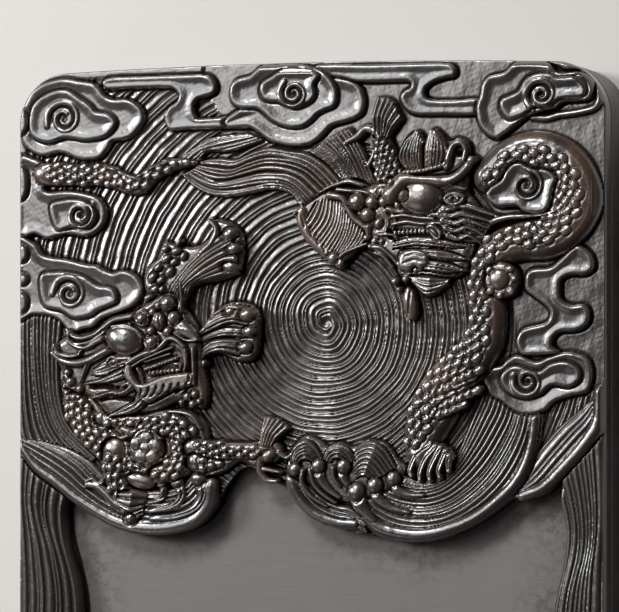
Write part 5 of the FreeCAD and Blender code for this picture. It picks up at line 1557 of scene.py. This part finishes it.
@dataclass(frozen=True)
class CarvedFinish:
    """Oil-rubbed carved stone: black-brown, browner and duller in the cuts, with painted shade that darkens
    the fine cuts, greyer on rubbed crests.
    """

    name: str = "carved_stone_oiled"
    dark: tuple = (0.009, 0.0075, 0.007, 1)
    brown: tuple = (0.036, 0.020, 0.012, 1)
    worn: tuple = (0.063, 0.051, 0.044, 1)
    rough: tuple = (0.22, 0.34)
    warmth: float = 0.45
    blush: float = 0.0
    gloss: float = 0.35

    def make(self) -> bpy.types.Material:
        """Builds the material."""
        n = Nodes(self.name)
        cut = n.attribute("near_cut")
        wide = n.attribute("wide_cut")
        cloud = n.noise(55, 4)
        grain = n.noise(900, 3)
        fine = n.noise(2600, 2)
        warm = n.math("MULTIPLY", n.ramp(n.math("ADD", wide, n.math("MULTIPLY", cloud, 2.0)), 0.2, 3.0),
            self.warmth)
        warm = n.math("MAXIMUM", warm, n.math("MULTIPLY", n.ramp(cloud, 0.42, 0.62), self.blush))
        colour = n.mix(warm, self.dark, self.brown)
        crest = n.math("MULTIPLY", n.ramp(cut, -0.05, -0.45), n.ramp(grain, 0.3, 0.75, 0.55, 1.0))
        colour = n.mix(n.math("MULTIPLY", crest, 0.75), colour, self.worn)
        # painted shade in the cuts: the deeper a point lies below its neighbours, the nearer black it is
        # painted, and the less specular and coat it gets
        deep = n.ramp(cut, 0.0, 0.45)
        colour = n.mix(n.math("MULTIPLY", deep, 0.75), colour, (0.004, 0.003, 0.003, 1))
        rough = n.math("ADD", n.ramp(cloud, 0.3, 0.7, *self.rough), n.math("MULTIPLY", deep, 0.25))
        bump = n.math("ADD", n.math("MULTIPLY", grain, 0.7), n.math("MULTIPLY", fine, 0.3))
        open_ = n.math("SUBTRACT", 1.0, n.math("MULTIPLY", deep, 0.9))
        return n.finish(colour, rough, bump, 0.35, 0.00014, n.math("MULTIPLY", open_, 0.75),
                        n.math("MULTIPLY", open_, self.gloss))


@dataclass(frozen=True)
class HonedFinish:
    """The hall's matte grey: fine rubbing marks across it, faint mottling, and painted shade near its rim,
    broken into mottled patches.
    """

    name: str = "honed_stone_matte"
    pale: tuple = (0.080, 0.0735, 0.071, 1)
    grey: tuple = (0.067, 0.0615, 0.0595, 1)
    # the colour of the painted shade near the rim
    rim_shade_tone: tuple = (0.036, 0.031, 0.028, 1)

    def make(self) -> bpy.types.Material:
        """Builds the material."""
        n = Nodes(self.name)
        marks = n.noise(2600, 5, (0.04, 1.0, 1.0))
        broad = n.noise(28, 4)
        speck = n.noise(420, 5, None, 0.7)
        colour = n.mix(n.ramp(marks, 0.35, 0.65), self.grey, self.pale)
        colour = n.mix(n.ramp(broad, 0.3, 0.7, 0.0, 0.35), colour, self.grey)
        # painted shade near the rim and the wall under the picture: mottled patches fade in towards the
        # walls, and specks darken the floor right beside them
        edge = n.attribute("near_rim")
        patch = n.math("MULTIPLY", n.ramp(broad, 0.34, 0.56), n.ramp(speck, 0.44, 0.58))
        painted_rim_shade = n.math("MULTIPLY", n.math("POWER", edge, 4.0), n.ramp(speck, 0.3, 0.6, 0.2, 0.62))
        rim_shade_share = n.math("MAXIMUM", n.math("MULTIPLY", edge, patch), painted_rim_shade)
        colour = n.mix(rim_shade_share, colour, self.rim_shade_tone)
        rough = n.ramp(marks, 0.3, 0.7, 0.62, 0.72)
        return n.finish(colour, rough, n.math("ADD", n.math("MULTIPLY", marks, 0.5),
            n.math("MULTIPLY", speck, 0.4)), 0.2, 0.00008, 0.3)


@dataclass(frozen=True)
class SideFinish:
    """The sawn and rubbed sides and underside: dark, smooth, with faint marks along the cut."""

    name: str = "side_stone_rubbed"
    dark: tuple = (0.020, 0.018, 0.017, 1)
    grey: tuple = (0.042, 0.038, 0.035, 1)

    def make(self) -> bpy.types.Material:
        """Builds the material."""
        n = Nodes(self.name)
        marks = n.noise(700, 3, (0.15, 0.15, 1.0))
        broad = n.noise(35, 5)
        colour = n.mix(n.ramp(broad, 0.3, 0.7), self.dark, self.grey)
        colour = n.mix(n.ramp(marks, 0.45, 0.62, 0.0, 0.45), colour, self.grey)
        rough = n.math("ADD", n.ramp(broad, 0.3, 0.7, 0.36, 0.46), n.ramp(marks, 0.3, 0.7, 0.0, 0.10))
        return n.finish(colour, rough, n.math("ADD", marks, broad), 0.2, 0.00015, 0.5, 0.08)


# ------------------------------------------------------------------ the stone itself
@dataclass
class Stone:
    """The whole stone: its slab, its hall and every carved region of its top."""

    outline: Outline
    seat: float

    def dress(self, mesh: bpy.types.Mesh, name: str, material: bpy.types.Material,
              nodes: Sequence[str]) -> None:
        """Makes a piece of a mesh: its material, its body and the CAD nodes it stands for."""
        mesh.materials.append(material)
        piece = bpy.data.objects.new(name, mesh)
        bpy.context.scene.collection.objects.link(piece)
        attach(piece, "root")
        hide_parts(*nodes)
        LOG.info("%s: %d faces", name, len(mesh.polygons))

    def slab(self) -> bpy.types.Mesh:
        """The slab: the outline carried up a profile that rounds the lower edge.

        A point is the outline's point moved inwards by the profile's inset, at the profile's height.
        The underside and the top are flat, each a fan of rings towards the middle.
        """
        ring = self.outline.ring(640)
        e = 0.02
        gx = self.outline.inside(ring[:, 0] + e, ring[:, 1]) - self.outline.inside(ring[:, 0] - e, ring[:, 1])
        gy = self.outline.inside(ring[:, 0], ring[:, 1] + e) - self.outline.inside(ring[:, 0], ring[:, 1] - e)
        inward = np.stack([gx, gy], -1)
        inward /= np.linalg.norm(inward, axis=1, keepdims=True)
        a = np.linspace(0, math.pi / 2, 7)
        foot = 1.5
        profile = [(foot * (1 - math.sin(t)), foot * (1 - math.cos(t))) for t in a]
        profile += [(0.0, h) for h in np.linspace(foot, self.seat, 12)[1:]]
        rings = [np.column_stack([ring + inward * inset, np.full(len(ring), h)]) for inset, h in profile]
        wobble = 0.05 * noise(ring[:, 0], ring[:, 1], 30, 21)
        for k, level in enumerate(rings[7:-2]):
            level[:, :2] += inward * (wobble * math.sin(math.pi * (k + 1) / len(rings[7:-2])))[:, None]
        shrink = [0.8, 0.5, 0.2]
        below = [np.column_stack([rings[0][:, :2] * s, np.zeros(len(ring))]) for s in shrink]
        above = [np.column_stack([rings[-1][:, :2] * s, np.full(len(ring), self.seat)]) for s in shrink]
        stack = below[::-1] + rings + above
        n = len(ring)
        points = np.vstack(stack + [[[0, 0, 0]], [[0, 0, self.seat]]])
        k = np.arange(n)
        after = (k + 1) % n
        quads = np.vstack([np.stack([r * n + k, r * n + after, (r + 1) * n + after, (r + 1) * n + k], -1)
            for r in range(len(stack) - 1)])
        last = (len(stack) - 1) * n
        low_fan = np.stack([np.full(n, len(points) - 2), after, k], -1)
        high_fan = np.stack([np.full(n, len(points) - 1), last + k, last + after], -1)
        mesh = bpy.data.meshes.new("slab_body")
        mesh.from_pydata((points * MM).tolist(), [], quads.tolist() + low_fan.tolist() + high_fan.tolist())
        mesh.polygons.foreach_set("use_smooth", np.ones(len(mesh.polygons), bool))
        mesh.update()
        return mesh

    def hall(self, hall: Hall, relief: Relief) -> bpy.types.Mesh:
        """The hall's floor as a closed plate: the floor's own formula on a 1 mm grid inside its rim.

        Its outer cells run a little way under the border. It lies 0.02 mm below the relief.
        """
        _, gx, gy, d = relief.inset(hall.rim, 3.0)
        step = round(1 / relief.pitch)
        x, y, rim = gx[::step, ::step], gy[::step, ::step], d[::step, ::step]
        below = y < Ground().picture_floor(x[0])[None, :] + 0.6
        inside = (rim > -0.9) & below
        mask = inside[:-1, :-1] & inside[1:, 1:] & inside[:-1, 1:] & inside[1:, :-1]
        mask = tidy_regions(mask.astype(np.uint8), 2) == 1
        z = hall.surface(x, y) - 0.02 + 0.02 * noise(x, y, 11, 31)
        sy, sx = np.gradient(z, relief.pitch * step)
        normal = np.stack([-sx, -sy, np.ones_like(z)], -1)
        normal /= np.linalg.norm(normal, axis=-1, keepdims=True)
        plain = np.zeros(z.size)
        faces, region = faces_of(np.where(mask, 0, 255))
        data = Sampled(x.ravel(), y.ravel(), z.ravel(), normal.reshape(-1, 3), plain, plain, faces, region)
        mesh = piece_mesh("hall_floor", data, region == 0, self.seat, self.outline)
        co = np.zeros(len(mesh.vertices) * 3, np.float32)
        mesh.vertices.foreach_get("co", co)
        px, py = co[0::3] / MM, co[1::3] / MM
        i = np.clip(np.rint((px - gx[0, 0]) / relief.pitch).astype(int), 0, gx.shape[1] - 1)
        j = np.clip(np.rint((py - gy[0, 0]) / relief.pitch).astype(int), 0, gx.shape[0] - 1)
        # near_rim: how close a point lies to the rim or to the wall under the picture; the honed finish
        # paints shade by it
        near = 1 - smoothstep(np.minimum(d[j, i], Ground().picture_floor(px) - py), 0.5, 16)
        mesh.attributes.new("near_rim", "FLOAT", "POINT").data.foreach_set("value", near.astype(np.float32))
        return mesh

    def build(self, relief: Relief, hall: Hall) -> None:
        """Builds and dresses every piece."""
        side = SideFinish().make()
        self.dress(self.slab(), "slab_body", side, ["stone_slab"])
        self.dress(self.hall(hall, relief), "hall_floor", HonedFinish().make(),
            ["grinding_hall"])
        carved = CarvedFinish().make()
        dragon = CarvedFinish(name="dragon_stone_oiled", brown=(0.058, 0.031, 0.019, 1), warmth=0.8,
            blush=0.6, rough=(0.20, 0.32), gloss=0.65).make()
        data = sample(relief)
        for index, name in enumerate(relief.names):
            chosen = data.region == index
            if name in ("blank", "grinding_hall") or not chosen.any():
                continue
            is_dragon = "dragon" in name or name == "tail_plume"
            mesh = piece_mesh(name + "_carving", data, chosen, self.seat, self.outline)
            self.dress(mesh, name + "_carving", dragon if is_dragon else carved,
                [name])


@dataclass
class Studio:
    """The floor, the lights and the camera."""

    stone_top: float = 0.0345
    reach: float = 0.84
    tilt: float = 18.0
    aim: tuple = (0.0027, 0.0601)
    lens: float = 177.6
    lit: tuple = (0, 0.03, 0.03)

    def floor(self) -> None:
        """A plain pale floor that turns up into a backdrop far away: a bowl of revolution."""
        r = np.array([0.0, 0.4, 1.2, 3.0, 5.0, 6.2, 7.0, 7.4])
        h = np.array([0.0, 0.0, 0.0, 0.0, 0.15, 0.8, 1.9, 3.4])
        a = np.linspace(0, 2 * math.pi, 97)[:-1]
        points = np.stack([np.outer(r, np.cos(a)), np.outer(r, np.sin(a)), np.outer(h, np.ones_like(a))], -1)
        n = len(a)
        k = np.arange(n)
        after = (k + 1) % n
        quads = np.vstack([np.stack([q * n + k, (q + 1) * n + k, (q + 1) * n + after, q * n + after], -1)
            for q in range(1, len(r) - 1)])
        fan = np.stack([np.zeros(n, int), n + k, n + after], -1)
        mesh = bpy.data.meshes.new("floor")
        mesh.from_pydata(points.reshape(-1, 3).tolist(), [], fan.tolist() + quads.tolist())
        mesh.polygons.foreach_set("use_smooth", np.ones(len(mesh.polygons), bool))
        n = Nodes("pale_floor")
        tone = n.mix(n.ramp(n.noise(2.5, 2), 0.3, 0.7), (0.285, 0.277, 0.264, 1), (0.300, 0.292, 0.279, 1))
        mesh.materials.append(n.finish(tone, 0.9, n.noise(300, 2), 0.02, 0.0002, 0.2))
        floor = bpy.data.objects.new("floor", mesh)
        bpy.context.scene.collection.objects.link(floor)

    def light(self, name: str, place: tuple, power: float, size: float) -> None:
        """A square soft light, turned to face the stone's top."""
        lamp = bpy.data.lights.new(name, "AREA")
        lamp.energy, lamp.size = power, size
        holder = bpy.data.objects.new(name, lamp)
        holder.location = place
        toward = Vector(self.lit) - Vector(place)
        holder.rotation_euler = toward.to_track_quat("-Z", "Y").to_euler()
        bpy.context.scene.collection.objects.link(holder)

    def build(self) -> None:
        """Sets up the floor, lights, surroundings and camera."""
        self.floor()
        self.light("window", (-0.40, 1.05, 1.00), 31.0, 0.34)
        self.light("side", (-1.05, 0.40, 0.85), 26.0, 0.34)
        self.light("overhead", (-0.54, 0.40, 1.30), 8.5, 0.6)
        self.light("fill", (-0.7, -0.8, 1.0), 2.0, 0.6)
        world = bpy.data.worlds.new("studio")
        world.use_nodes = True
        world.node_tree.nodes["Background"].inputs[0].default_value = (1.0, 0.96, 0.92, 1)
        world.node_tree.nodes["Background"].inputs[1].default_value = 0.05
        scene = bpy.context.scene
        scene.world = world
        scene.view_settings.view_transform = "Standard"
        camera = bpy.data.cameras.new("camera")
        camera.lens, camera.sensor_width = self.lens, 36.0
        holder = bpy.data.objects.new("camera", camera)
        angle = math.radians(self.tilt)
        holder.location = (self.aim[0] + self.reach * math.sin(angle), self.aim[1],
            self.stone_top + self.reach * math.cos(angle))
        holder.rotation_euler = (0, angle, 0)
        scene.collection.objects.link(holder)
        scene.camera = holder


def main() -> None:
    """Carves the relief, builds the pieces and sets up the studio."""
    logging.basicConfig(level=logging.INFO, format="%(name)s: %(message)s")
    _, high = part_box("stone_slab")
    outline = Outline(half_width=round(high.x / MM, 1), half_length=round(high.y / MM, 1))
    relief = Relief(outline)
    hall = Hall()
    for carving in carvings(hall):
        carving.carve(relief)
        LOG.info("carved %s", type(carving).__name__)
    relief.spread()
    gx, gy = np.meshgrid(relief.x, relief.y)
    relief.z += 0.025 * noise(gx, gy, 2.6, 61) + 0.014 * noise(gx, gy, 0.9, 62)
    relief.z = np.minimum(relief.z, np.minimum(edge_limit(relief), HIGHEST))
    stone = Stone(outline, seat=high.z / MM)
    stone.build(relief, hall)
    Studio().build()


def edge_limit(relief: Relief, reach: float = 3.0, rise: float = 4.6) -> Array:
    """The highest that stone may stand near the outline: a quarter circle that rises inwards."""
    gx, gy = np.meshgrid(relief.x, relief.y)
    d = relief.outline.inside(gx, gy)
    return np.where(d < reach, EDGE_FOOT + rise * dome(d / reach), 99).astype(np.float32)


if __name__ == "__main__":
    main()
